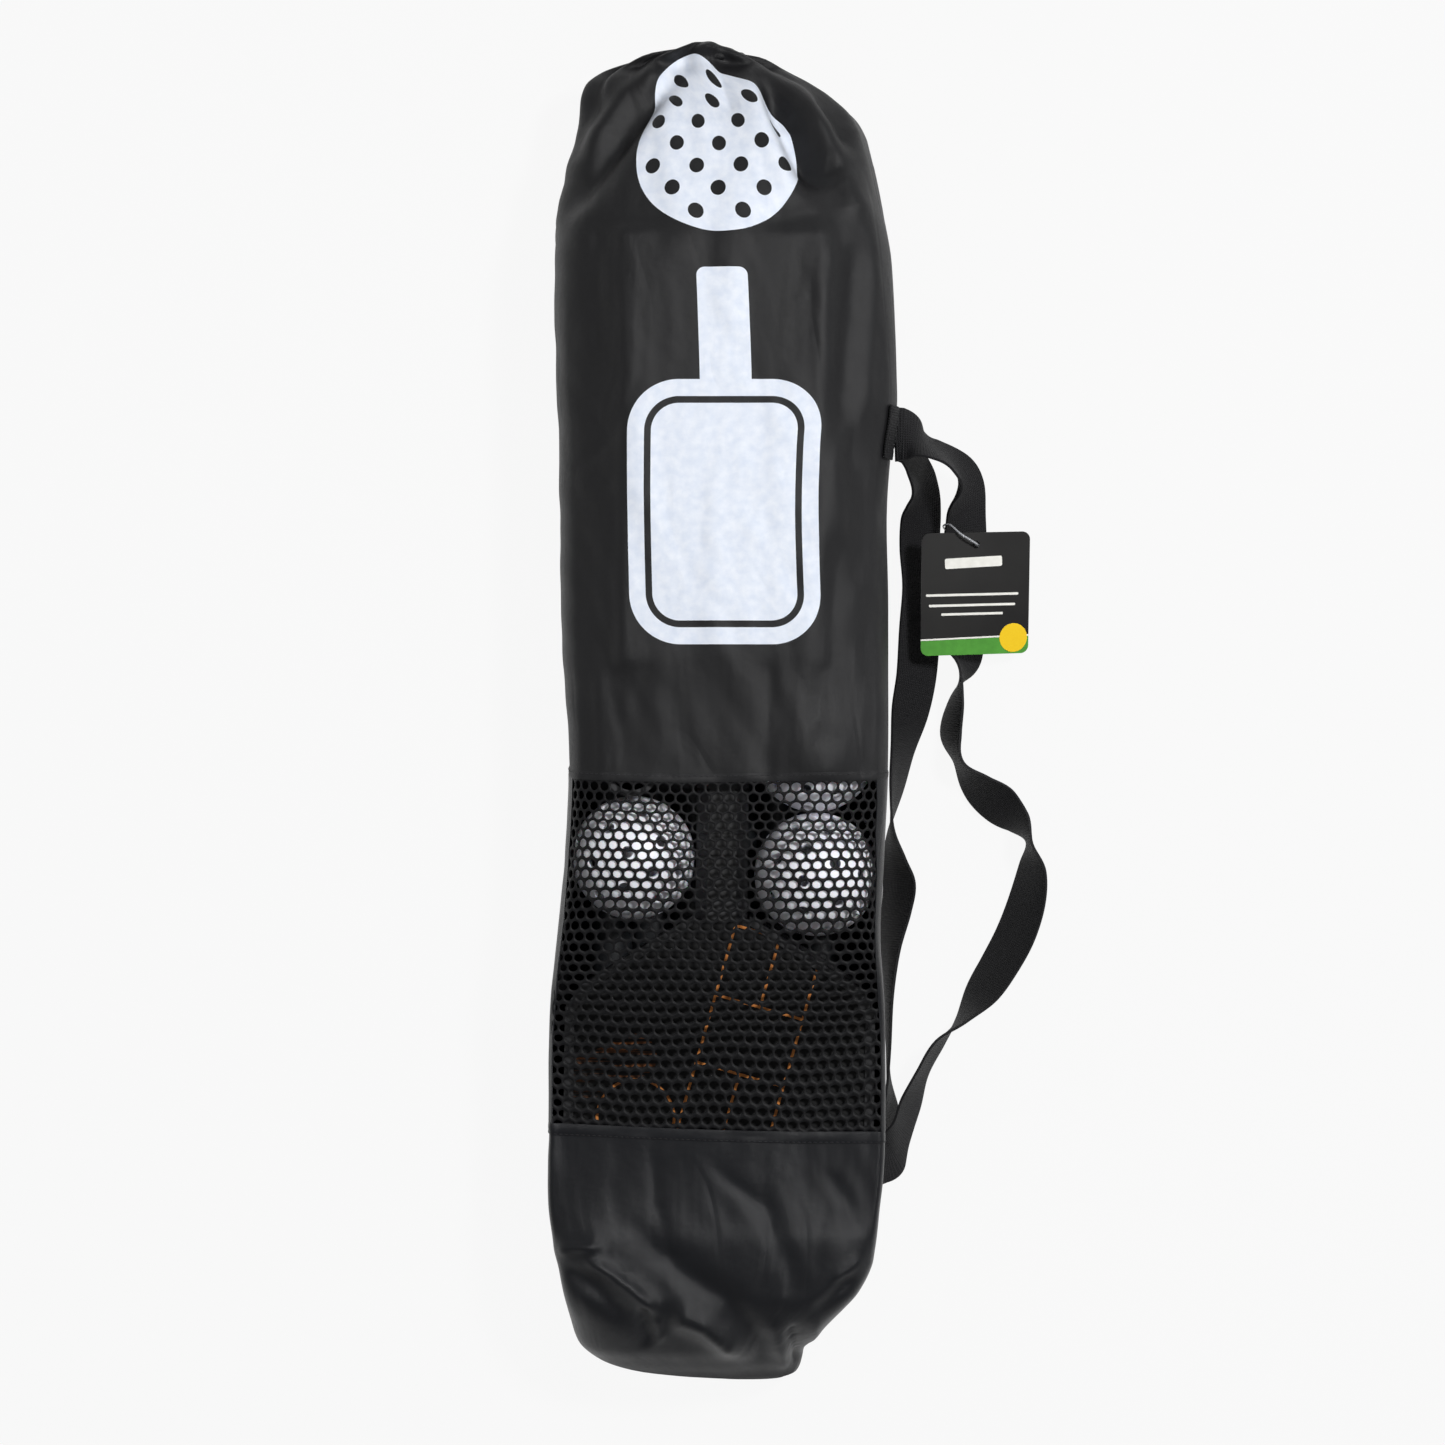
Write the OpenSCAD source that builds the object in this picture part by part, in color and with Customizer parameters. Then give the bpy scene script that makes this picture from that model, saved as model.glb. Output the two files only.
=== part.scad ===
// Portable pickleball net set packed in its drawstring carry bag.
// The bag lies on its back. Millimetres, +Z up, +Y towards the drawn mouth,
// origin on the floor under the middle of the bag.

/* [Bag] */
// Thickness of the bag cloth and of the mesh
fabric_t = 1.2; // [1:0.1:2]
// Free length between the foot of the bag and the poles
foot_room = 76; // [70:1:90]
// Free length between the poles and the drawn mouth
mouth_room = 60; // [56:1:80]
// Slack between the paddles and each side wall
side_slack = 5.5; // [5:0.5:9]
// Free height over the balls, paddles and net roll
top_slack = 2.4; // [1.6:0.1:4]
// Distance from the foot of the bag to the mesh window
window_start = 172; // [165:1:180]
// Length of the mesh window along the bag
window_len = 206; // [190:1:210]
// Gaps across the mesh window
window_columns = 16; // [10:2:16]
// Gaps along the mesh window
window_rows = 14; // [8:2:14]
// Share of a mesh cell that is open
window_open = 0.8; // [0.7:0.01:0.85]
// Depth of the folded hem at each end of the window
hem_depth = 7; // [5:0.5:10]
// Middle radius of the hem round the drawn mouth
mouth_r = 19; // [17:0.5:21]
// Radius of the bunched hem roll
hem_roll_r = 4.5; // [3.5:0.1:5]
// Pleats round the drawn mouth
pleats = 10; // [6:1:12]

/* [Straps] */
// Width of the webbing
strap_w = 32; // [28:1:34]
// Thickness of the webbing
strap_t = 1.6; // [1.2:0.1:2]
// Length of the sewn end of each strap on the bag
anchor_len = 14; // [10:1:18]
// Distance from the foot of the bag to the lower strap anchor
anchor_setback = 139; // [134:1:144]
// Distance between the two strap anchors
anchor_spacing = 443; // [430:1:456]

/* [Hang tag] */
// Width of the card
tag_w = 70; // [60:1:76]
// Height of the card
tag_h = 76; // [66:1:80]
// Thickness of the card
tag_t = 0.8; // [0.6:0.1:1]
// Corner radius of the card
tag_corner_r = 5; // [3:0.5:8]
// Diameter of the punched hole
tag_hole_d = 5; // [4.5:0.1:6]
// Depth of the hole below the top edge of the card
tag_hole_drop = 7.5; // [6:0.5:10]
// Diameter of the plastic loop
loop_d = 1.2; // [1:0.1:1.4]
// Diameter of the round sticker
sticker_d = 18; // [14:1:22]

/* [Balls] */
// Outside diameter of a ball
ball_d = 74; // [72:0.5:75]
// Wall of a ball
ball_wall = 2.6; // [2:0.1:3]
// Diameter of each hole in a ball
ball_hole_d = 7; // [5:0.5:8]

/* [Paddles] */
// Length of a paddle
paddle_len = 381; // [370:1:384]
// Width of a paddle over its edge guard
paddle_w = 185; // [175:1:195]
// Thickness of the blade
blade_t = 10; // [8:0.5:12]
// Length of the blade from tip to shoulder
head_len = 241; // [236:1:246]
// Corner radius of the tip
head_r = 60; // [40:1:70]
// Wall of the edge guard outside the blade
guard_t = 1.5; // [1:0.1:2]
// Lip of the edge guard over each face
guard_lip = 4; // [3:0.5:6]
// Width of the grip
grip_w = 31; // [29:0.5:32]
// Thickness of the grip
grip_t = 27; // [25:0.5:28]
// Turns of tape on the grip
grip_turns = 9; // [7:1:11]
// Distance from the foot of the bag to the paddle tips
tip_gap = 50; // [46:1:56]

/* [Net frame] */
// Outside diameter of the tubes
pole_d = 25.4; // [24:0.1:26]
// Wall of the tubes
pole_wall = 1.2; // [1:0.1:1.6]
// Length of each crossbar with its plug end
pole_len = 680; // [670:1:700]
// Length of each upright section
upright_len = 470; // [440:1:490]
// Length of each foot tube
foot_len = 600; // [560:1:620]
// Length of a reduced plug end
swage_len = 50; // [40:1:55]
// Radial clearance of a plug end in the next tube
swage_fit = 0.3; // [0.2:0.05:0.5]
// Diameter of a snap button
button_d = 6; // [5:0.1:7]
// How far a snap button stands out and travels
button_travel = 3.5; // [2.5:0.1:4]
// Length of a tube end plug outside the tube
plug_flange = 3; // [2:0.5:4]
// Outside diameter of a corner connector
connector_d = 31; // [30:0.5:32]
// Length of the straight run of a corner connector
connector_run = 74; // [66:1:76]
// Length of the branch of a corner connector from the middle of its run
connector_branch = 46; // [40:1:50]

/* [Net] */
// Width of the rolled net across the bag
roll_w = 158; // [140:1:164]
// Turns of the rolled net
roll_turns = 4; // [3:1:5]
// Height of the rolled net
roll_h = 66; // [60:1:68]
// Thickness of the rolled netting
net_t = 3.6; // [3:0.1:5]
// Width of the head tape on the roll
tape_w = 48; // [40:1:56]
// Width of the band that ties the roll
tie_w = 25; // [20:1:30]
// Thickness of that band
tie_t = 1.2; // [1:0.1:1.6]

/* [Fits] */
// Gap between packed pieces that rest on each other
pack_gap = 0.3; // [0.2:0.05:0.5]
// Running clearance of the snap buttons
button_fit = 0.12; // [0.08:0.01:0.2]

/* [Hidden] */
$fn = 48;

black = "#1c1c1e";
webbing = "#151517";
steel = "#2b2d30";
ball_white = "#e4e6ee";
blade_black = "#17171a";
plastic = "#232326";
spring_steel = "#9a9da3";
tape_white = "#e8e8e4";

// ---- Levels and places worked out from the packed pieces ----

bag_len = foot_room + pole_len + mouth_room;
foot_y = -bag_len / 2;
mouth_y = bag_len / 2;
half_w = paddle_w / 2 + side_slack + fabric_t;
pole_pitch = pole_d + pack_gap;
lower_z = fabric_t + pack_gap + pole_d / 2;
upper_z = lower_z + pole_pitch * sin(60);
poles_top = upper_z + pole_d / 2;
poles_y = foot_y + foot_room;
crossbar_count = 5;
upper_count = 6;

ball_r = ball_d / 2;
ball_z = poles_top + pack_gap + ball_r;
rear_z = poles_top + pack_gap + grip_t / 2;
front_z = rear_z + grip_t + pack_gap;
tip_y = foot_y + tip_gap;
shoulder_y = tip_y + head_len;
butt_y = tip_y + paddle_len;
front_paddle_x = 0;
front_paddle_turn = -0.75;
rear_paddle_x = 4;

top_ball = ball_z + ball_r + top_slack + fabric_t;
top_paddle = front_z + blade_t / 2 + guard_t + top_slack + 3 * fabric_t;
roll_z = poles_top + 2 * pack_gap + tie_t + roll_h / 2;
top_net = max(roll_z + roll_h / 2 + tie_t + top_slack + 2 * fabric_t, top_ball - 2);
mouth_z = 55;
mouth_x = -3;
hem_outer_r = mouth_r + hem_roll_r + 2 * pack_gap + fabric_t;

window_y0 = foot_y + window_start;
window_y1 = window_y0 + window_len;

// ---- Shape of the filled bag ----

// Rows along the bag: place, side shift, half width, underside, top,
// squareness of the section, depth of the pleats.
STATIONS = [
    [foot_y, 20, 22, 3, 15, 2.2, 0],
    [foot_y + 5, 13, half_w - 62, 0, 36, 2.6, 0],
    [foot_y + 12, 2, half_w - 45, 0, 60, 3, 0],
    [foot_y + 24, -8, half_w - 31, 0, 84, 4, 0],
    [foot_y + 38, -9, half_w - 21, 0, top_paddle - 5, 6, 0],
    [foot_y + 56, -6, half_w - 12, 0, top_paddle, 9, 0],
    [foot_y + 80, -1, half_w - 4, 0, top_paddle, 12, 0],
    [foot_y + 104, 1, half_w, 0, top_paddle, 14, 0],
    [shoulder_y - 60, 1, half_w, 0, top_paddle, 14, 0],
    [shoulder_y - 14, 4, half_w, 0, top_ball - 4, 6, 0],
    [shoulder_y + 30, 6, half_w, 0, top_ball, 4.4, 0],
    [shoulder_y + 96, 7, half_w - 1, 0, top_ball, 4.2, 0],
    [butt_y + 34, 6, half_w - 2, 0, top_net, 3.6, 0],
    [butt_y + 110, 5, half_w - 1, 0, top_net, 3.4, 0],
    [butt_y + 160, 6, half_w + 3, 0, top_net, 3.4, 0],
    [mouth_y - 150, 5, half_w + 4, 0, top_net, 3.2, 0],
    [mouth_y - 100, 2, half_w + 1, 0, top_net - 4, 3, 0],
    [mouth_y - 70, 2, half_w - 5, 0, top_net - 14, 2.8, 0.003],
    [mouth_y - 57, 2, half_w - 10, 0, top_net - 19, 2.7, 0.005],
    [mouth_y - 46, 1, half_w - 14, 5, top_net - 24, 2.6, 0.03],
    [mouth_y - 32, -4, half_w - 23, 12, top_net - 33, 2.4, 0.05],
    [mouth_y - 20, -8, half_w - 38, 20, top_net - 42, 2.2, 0.07],
    [mouth_y - 11, -6, half_w - 60, mouth_z - 32, mouth_z + 30, 2, 0.08],
    [mouth_y - 6, mouth_x, hem_outer_r, mouth_z - hem_outer_r, mouth_z + hem_outer_r, 2, 0],
];

// Main folds of the cloth seen from above: places along each as [x, distance from that end
// of the bag], depth (a ridge is below zero) and half width.
MOUTH_FOLDS = [
    [[[29, 26], [42, 51], [57, 78], [70, 94]], 13, 12],
    [[[42, 20], [62, 56], [78, 90], [84, 112]], -4, 12],
    [[[-24, 17], [-45, 40], [-68, 69], [-92, 106]], 9, 13],
];
FOOT_FOLDS = [
    [[[-90, 99], [-70, 97], [-48, 72], [-34, 60]], -4, 11],
    [[[-92, 86], [-72, 74], [-52, 54]], 3.5, 10],
    [[[-42, 42], [-43, 36], [-38, 24]], 4, 8],
    [[[46, 40], [48, 30], [50, 14]], 4.5, 8],
];

// Seams run this share of the girth round from the widest points.
seam_roll = 0.055;
front_steps = 2 * window_columns;
back_steps = 24;
girth_samples = 96;
// The section is widest this share of its height above the floor.
widest_share = 0.42;

function mix(a, b, t) = a * (1 - t) + b * t;
function clamp_index(i, n) = max(0, min(n - 1, i));
function cubic(a, b, c, d, t) =
    b + 0.5 * t * (c - a + t * (2 * a - 5 * b + 4 * c - d + t * (3 * (b - c) + d - a)));

// Which gap between stations holds y
function station_gap(y, i = 0) =
    i >= len(STATIONS) - 2 || STATIONS[i + 1][0] >= y ? i : station_gap(y, i + 1);

// The station values at y, on a smooth curve kept between its neighbours
function station(y) =
    let (
        n = len(STATIONS),
        i = station_gap(y),
        b = STATIONS[i],
        c = STATIONS[i + 1],
        a = STATIONS[clamp_index(i - 1, n)],
        d = STATIONS[clamp_index(i + 2, n)],
        t = max(0, min(1, (y - b[0]) / (c[0] - b[0])))
    )
    [for (k = [0:6])
        let (v = cubic(a[k], b[k], c[k], d[k], t))
        k == 0 ? y : max(min(b[k], c[k]), min(max(b[k], c[k]), v))];

function signed_pow(v, e) = sign(v) * pow(abs(v), e);

// One point of the section at y, at angle t, with the wall taken off by inset
function section_point(s, t, inset) =
    let (
        mid = mix(s[3], s[4], widest_share),
        n = t <= 180 ? s[5] : min(9, s[5] * 2.4),
        reach = t <= 180 ? s[4] - inset - mid : mid - s[3] - inset,
        x = s[1] + (s[2] - inset) * signed_pow(cos(t), 2 / n),
        z = mid + reach * signed_pow(sin(t), 2 / n),
        swell = 1 + s[6] * cos(pleats * t),
        centre = [s[1], mid]
    )
    centre + ([x, z] - centre) * swell;

function running_length(p, i = 0, l = 0, out = []) =
    i >= len(p) ? out
    : running_length(p, i + 1, i + 1 < len(p) ? l + norm(p[i + 1] - p[i]) : l, concat(out, [l]));

// Distance of the point p from the stretch from a to b
function from_stretch(p, a, b) =
    let (d = b - a, t = max(0, min(1, (p - a) * d / (d * d))))
    norm(p - a - t * d);

// How far a set of folds pushes the cloth down at p
function fold_depth(folds, p) =
    [for (f = folds)
        let (gap = min([for (i = [0:len(f[0]) - 2]) from_stretch(p, f[0][i], f[0][i + 1])]))
        f[1] * exp(-pow(gap / f[2], 2))] * [for (f = folds) 1];

// Rises from 0 to 1 as v goes from a to b
function rise(v, a, b) = max(0, min(1, (v - a) / (b - a)));

// Folds fade out towards the seams, the ends and the filled part of the bag.
function folded(p, s) =
    let (
        mid = mix(s[3], s[4], widest_share),
        up = rise((p[2] - mid) / (s[4] - mid), 0.3, 0.8),
        to_mouth = mouth_y - p[1],
        to_foot = p[1] - foot_y,
        near_mouth = rise(to_mouth, 8, 22) * rise(to_mouth, 120, 96),
        near_foot = rise(to_foot, 8, 22) * rise(to_foot, 130, 100),
        down = (near_mouth > 0 ? near_mouth * fold_depth(MOUTH_FOLDS, [p[0], to_mouth]) : 0)
            + (near_foot > 0 ? near_foot * fold_depth(FOOT_FOLDS, [p[0], to_foot]) : 0)
    )
    p - [0, 0, up * down];

// Points spaced evenly round the girth at y, from share a to share b
function girth(y, inset, a, b, steps) =
    let (
        s = station(y),
        p = [for (i = [0:girth_samples]) section_point(s, 360 * i / girth_samples, inset)],
        l = running_length(p),
        total = l[girth_samples],
        xs = [for (i = [0:girth_samples]) [l[i], p[i][0]]],
        zs = [for (i = [0:girth_samples]) [l[i], p[i][1]]]
    )
    [for (k = [0:steps])
        let (f = mix(a, b, k / steps), at = (f - floor(f)) * total)
        folded([lookup(at, xs), y, lookup(at, zs)], s)];

function girth_length(y) =
    let (s = station(y))
    running_length([for (i = [0:girth_samples]) section_point(s, 360 * i / girth_samples, 0)])
        [girth_samples];

function front(y, inset = 0) = girth(y, inset, seam_roll, 0.5 + seam_roll, front_steps);
function back(y, inset = 0) = girth(y, inset, 0.5 + seam_roll, 1 + seam_roll, back_steps);

function spread(a, b, steps) = [for (i = [0:steps]) mix(a, b, i / steps)];

lower_rows = [
    foot_y, foot_y + 3, foot_y + 8, foot_y + 18, foot_y + 34, foot_y + 54,
    foot_y + 76, foot_y + 104, foot_y + 138, window_y0,
];
window_levels = spread(window_y0, window_y1, window_rows);
upper_rows = concat(
    spread(window_y1, mouth_y - 70, 9),
    [for (d = [58, 48, 40, 32, 26, 20, 15, 11, 8, 6]) mouth_y - d]
);
function tail(v) = [for (i = [1:len(v) - 1]) v[i]];
all_rows = concat(lower_rows, tail(window_levels), tail(upper_rows));

function flat(v) = [for (row = v) each row];

// A closed shell between two grids of points that match row by row
module shell(outer, inner) {
    rows = len(outer);
    cols = len(outer[0]);
    skin = rows * cols;
    function at(r, c, side = 0) = side * skin + r * cols + c;
    function pair(a, b, c, d) = [[a, b, c], [a, c, d]];
    faces = concat(
        [for (r = [0:rows - 2], c = [0:cols - 2])
            each pair(at(r, c), at(r, c + 1), at(r + 1, c + 1), at(r + 1, c))],
        [for (r = [0:rows - 2], c = [0:cols - 2])
            each pair(at(r, c, 1), at(r + 1, c, 1), at(r + 1, c + 1, 1), at(r, c + 1, 1))],
        [for (c = [0:cols - 2], r = [0, rows - 1])
            each r == 0
                ? pair(at(r, c), at(r, c, 1), at(r, c + 1, 1), at(r, c + 1))
                : pair(at(r, c), at(r, c + 1), at(r, c + 1, 1), at(r, c, 1))],
        [for (r = [0:rows - 2], c = [0, cols - 1])
            each c == 0
                ? pair(at(r, c), at(r + 1, c), at(r + 1, c, 1), at(r, c, 1))
                : pair(at(r, c), at(r, c, 1), at(r + 1, c, 1), at(r + 1, c))]
    );
    polyhedron(concat(flat(outer), flat(inner)), faces, convexity = 8);
}

module bag_back_panel() {
    color(black)
        shell([for (y = all_rows) back(y)], [for (y = all_rows) back(y, fabric_t)]);
}

module bag_upper_panel() {
    color(black)
        shell([for (y = upper_rows) front(y)], [for (y = upper_rows) front(y, fabric_t)]);
}

module bag_lower_panel() {
    color(black)
        shell([for (y = lower_rows) front(y)], [for (y = lower_rows) front(y, fabric_t)]);
}

// Mesh of six-sided gaps: a brick lattice whose rows zigzag
module bag_mesh_window() {
    cols = front_steps;
    rows = window_rows;
    wave = 1 / 6;
    outer = [for (y = window_levels) front(y)];
    inner = [for (y = window_levels) front(y, fabric_t)];
    function inside(k, j) = k > 0 && k < cols && j > 0 && j < rows;
    // The lattice corner (k, j) in cell steps, moved up or down where rows meet
    function corner(k, j) =
        [k, j + (inside(k, j) ? ((k + j) % 2 == 0 ? wave : -wave) : 0)];
    function on(grid, p) =
        let (
            j = min(rows - 1, floor(p[1])),
            k = min(cols - 1, floor(p[0])),
            u = p[0] - k,
            v = p[1] - j
        )
        mix(mix(grid[j][k], grid[j][k + 1], u), mix(grid[j + 1][k], grid[j + 1][k + 1], u), v);
    cells = [for (j = [0:rows - 1], k = [j % 2:2:cols - 2]) [k, j]];
    function rim(c) = [
        [c[0], c[1]], [c[0] + 1, c[1]], [c[0] + 2, c[1]],
        [c[0] + 2, c[1] + 1], [c[0] + 1, c[1] + 1], [c[0], c[1] + 1],
    ];
    lattice = [for (j = [0:rows], k = [0:cols]) corner(k, j)];
    holes = [for (c = cells)
        let (r = [for (p = rim(c)) corner(p[0], p[1])], m = [c[0] + 1, c[1] + 0.5])
        each [for (p = r) m + (p - m) * window_open]];
    flat_points = concat(lattice, holes);
    total = len(flat_points);
    function knot(p) = p[1] * (cols + 1) + p[0];
    function gap(c, i) = len(lattice) + 6 * c + i % 6;
    function quad(a, b, c, d, s) = s == 0
        ? [[a, b, c], [a, c, d]]
        : [[c + total, b + total, a + total], [d + total, c + total, a + total]];
    strands = [for (s = [0, 1], c = [0:len(cells) - 1], i = [0:5])
        let (r = rim(cells[c]))
        each quad(knot(r[i]), knot(r[(i + 1) % 6]), gap(c, i + 1), gap(c, i), s)];
    half_cells = [for (s = [0, 1], j = [1:2:rows - 1], k = [0, cols - 1])
        each quad(knot([k, j]), knot([k + 1, j]), knot([k + 1, j + 1]), knot([k, j + 1]), s)];
    gap_walls = [for (c = [0:len(cells) - 1], i = [0:5])
        let (a = gap(c, i), b = gap(c, i + 1))
        each [[a, b, b + total], [a, b + total, a + total]]];
    edge = concat(
        [for (k = [0:cols - 1]) [k, 0]],
        [for (j = [0:rows - 1]) [cols, j]],
        [for (k = [cols:-1:1]) [k, rows]],
        [for (j = [rows:-1:1]) [0, j]]
    );
    edge_walls = [for (i = [0:len(edge) - 1])
        let (a = knot(edge[i]), b = knot(edge[(i + 1) % len(edge)]))
        each [[b, a, a + total], [b, a + total, b + total]]];
    color(black)
        polyhedron(
            concat(
                [for (p = flat_points) on(outer, p)],
                [for (p = flat_points) on(inner, p)]
            ),
            concat(strands, half_cells, gap_walls, edge_walls),
            convexity = 12
        );
}

// Folded hem that lies on the cloth beside the window
module window_hem(y0, y1) {
    rows = spread(y0, y1, 1);
    color(black)
        shell(
            [for (y = rows) front(y, -pack_gap - fabric_t)],
            [for (y = rows) front(y, -pack_gap)]
        );
}

// Cloth gathered and sewn shut at the foot
module bag_foot_closure() {
    ring = concat(front(foot_y), tail(back(foot_y)));
    count = len(ring) - 1;
    near = [for (i = [0:count - 1]) ring[i]];
    tuck = STATIONS[0];
    middle = [tuck[1], foot_y, mix(tuck[3], tuck[4], widest_share)];
    far = [for (p = near) mix(p, middle, 0.25) - [0, 2 * fabric_t, 0]];
    color(black)
        polyhedron(
            concat(near, far, [middle, middle - [0, 2.5 * fabric_t, 0]]),
            concat(
                [for (i = [0:count - 1]) let (j = (i + 1) % count)
                    each [[j, i, i + count], [j, i + count, j + count]]],
                [for (i = [0:count - 1]) [i, (i + 1) % count, 2 * count]],
                [for (i = [0:count - 1]) [(i + 1) % count + count, i + count, 2 * count + 1]]
            )
        );
}

module at_mouth(back_by = 0) {
    translate([mouth_x, mouth_y - back_by, mouth_z]) rotate([-90, 0, 0]) children();
}

// Bunched channel that the drawstring runs in
module mouth_hem() {
    color(black)
        at_mouth(hem_roll_r)
        difference() {
            rotate_extrude($fn = 72) translate([mouth_r, 0]) circle(hem_roll_r, $fn = 32);
            rotate_extrude($fn = 72) translate([mouth_r, 0]) circle(hem_roll_r - fabric_t, $fn = 32);
            translate([0, mouth_r, 0]) cylinder(r = eyelet_bore_r, h = 2 * hem_roll_r);
        }
}

eyelet_bore_r = 2.6;
eyelet_rim_r = 5.2;
eyelet_t = 1.2;

// Metal eyelet that lets the drawstring out of its channel
module mouth_eyelet() {
    color(spring_steel)
        at_mouth()
        translate([0, mouth_r, 0])
        difference() {
            union() {
                translate([0, 0, pack_gap / 3]) cylinder(r = eyelet_rim_r, h = eyelet_t);
                translate([0, 0, -fabric_t]) cylinder(r = eyelet_bore_r - 0.1, h = fabric_t + eyelet_t);
            }
            translate([0, 0, -2 * fabric_t]) cylinder(r = eyelet_bore_r - 0.8, h = 4 * fabric_t);
        }
}

// ---- Straps ----

// Sewn strap end that lies on the bag between two shares of the girth
module strap_anchor(y, from, to) {
    rows = spread(y - strap_w / 2, y + strap_w / 2, 2);
    steps = 6;
    color(webbing)
        shell(
            [for (v = rows) girth(v, -pack_gap - strap_t, from, to, steps)],
            [for (v = rows) girth(v, -pack_gap, from, to, steps)]
        );
}

anchor_bottom_y = foot_y + anchor_setback;
anchor_top_y = anchor_bottom_y + anchor_spacing;
anchor_top_share = 0.05;
anchor_bottom_share = 1.005;
anchor_share = anchor_len / girth_length(anchor_top_y);
// Shares of the girth at which each strap comes out from under its anchor
outer_shares = [anchor_top_share - 0.006, anchor_bottom_share - 0.013];
inner_shares = [anchor_top_share - 0.015, anchor_bottom_share - 0.023];

// The end of a strap against the cloth: its middle and the way its width lies
function sewn_end(y, share, turn) =
    let (
        lift = -pack_gap - strap_t / 2,
        a = girth(y - strap_w / 2, lift, share, share + 1, 1)[0],
        b = girth(y + strap_w / 2, lift, share, share + 1, 1)[0]
    )
    [(a + b) / 2, turn * (b - a) / norm(b - a)];

// Distance between the anchors for which the routes below are written
route_span = 443;

// A place given as the distance out from the side of the bag, the distance
// along it from the lower anchor, and the height
function beside(p) =
    [half_w + pack_gap + p[0], anchor_bottom_y + p[1] * anchor_spacing / route_span, p[2]];

// Each point is a place beside the bag and the way the webbing's width lies there.
OUTER_ROUTE = [
    [[13, 443, 77], [0, -1, 0.1]],
    [[20, 442, 75], [0, -0.85, 0.5]],
    [[29, 437, 71], [0, -0.5, 0.87]],
    [[40, 431, 63], [-0.15, -0.28, 0.95]],
    [[50, 423, 48], [-0.3, -0.2, 0.93]],
    [[55, 412, 33], [-0.6, -0.1, 0.78]],
    [[56, 399, 22], [-0.74, 0, 0.67]],
    [[56, 386, 17], [-0.84, 0, 0.54]],
    [[55, 367, 12], [-0.88, 0, 0.47]],
    [[55, 345, 10], [-0.9, 0, 0.43]],
    [[55, 327, 11], [-0.86, 0, 0.5]],
    [[55, 314, 12], [-0.8, 0, 0.6]],
    [[54, 299, 17], [-0.2, 0, 0.97]],
    [[50, 281, 18], [0.2, 0, 0.97]],
    [[47, 261, 18], [0.3, 0, 0.95]],
    [[52, 244, 18], [0.05, 0.1, 1]],
    [[63, 230, 17], [0.25, 0.45, 0.85]],
    [[77, 218, 15], [0.4, 0.6, 0.68]],
    [[89, 207, 17], [0.3, 0.3, 0.9]],
    [[96, 194, 18], [0, 0, 1]],
    [[98, 178, 17], [0.4, 0, 0.92]],
    [[95, 158, 15], [0.6, -0.05, 0.8]],
    [[88, 137, 14], [0.66, -0.1, 0.74]],
    [[78, 118, 14], [0.6, -0.2, 0.76]],
    [[67, 101, 16], [0.5, -0.2, 0.84]],
    [[54, 84, 18], [0.1, 0, 1]],
    [[40, 69, 18], [-0.2, 0.2, 0.95]],
    [[29, 50, 18], [-0.2, 0.3, 0.9]],
    [[22, 32, 19], [-0.3, 0.5, 0.8]],
    [[16, 15, 22], [-0.2, 0.75, 0.63]],
    [[10, 3, 29], [-0.1, 1, 0.1]],
    [[4, 0, 35], [0, 1, 0]],
];

INNER_ROUTE = [
    [[12, 443, 69], [0, -1, 0]],
    [[16, 441, 61], [0, -1, 0.1]],
    [[21, 434, 51], [-0.1, -0.95, 0.3]],
    [[26, 422, 41], [-0.3, -0.7, 0.6]],
    [[28, 411, 30], [-0.6, -0.3, 0.75]],
    [[28, 397, 20], [-0.76, 0, 0.65]],
    [[28, 377, 13], [-0.8, 0, 0.6]],
    [[30, 353, 12], [-0.82, 0, 0.57]],
    [[28, 327, 12], [-0.82, 0, 0.57]],
    [[26, 299, 12], [-0.8, 0, 0.6]],
    [[22, 277, 13], [-0.75, 0, 0.66]],
    [[17, 252, 15], [-0.5, 0, 0.87]],
    [[13, 227, 17], [-0.3, 0, 0.95]],
    [[10, 204, 18], [0, 0, 1]],
    [[12, 185, 17], [0.35, 0, 0.93]],
    [[15, 169, 15], [0.55, 0, 0.83]],
    [[13, 151, 15], [0.5, 0, 0.87]],
    [[9, 127, 17], [0.3, 0, 0.95]],
    [[8, 97, 18], [0.1, 0, 1]],
    [[8, 67, 18], [0, 0, 1]],
    [[8, 46, 17], [-0.1, 0.1, 1]],
    [[9, 28, 17], [-0.3, 0.4, 0.85]],
    [[9, 13, 16], [-0.2, 0.75, 0.6]],
    [[7, 3, 20], [-0.1, 1, 0.1]],
    [[3, 0, 26], [0, 1, 0]],
];

// The whole route, from the upper anchor to the lower one
function sewn(route, shares) = concat(
    [sewn_end(anchor_top_y, shares[0], -1)],
    [for (r = route) [beside(r[0]), r[1]]],
    [sewn_end(anchor_bottom_y, shares[1], 1)]
);

strap_smoothing = 2;

function along(route, u, part) =
    let (n = len(route), i = min(n - 2, floor(u)), t = u - i)
    cubic(
        route[clamp_index(i - 1, n)][part], route[i][part],
        route[i + 1][part], route[clamp_index(i + 2, n)][part], t
    );

function unit(v) = v / norm(v);

// The four corners of the webbing at u along its route
function strap_ring(route, u) =
    let (
        n = len(route) - 1,
        p = along(route, u, 0),
        way = unit(along(route, min(n, u + 0.05), 0) - along(route, max(0, u - 0.05), 0)),
        raw = along(route, u, 1),
        across = unit(raw - way * (raw * way)),
        up = cross(way, across)
    )
    [for (c = [[1, 1], [-1, 1], [-1, -1], [1, -1]])
        p + across * (c[0] * strap_w / 2) + up * (c[1] * strap_t / 2)];

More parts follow.
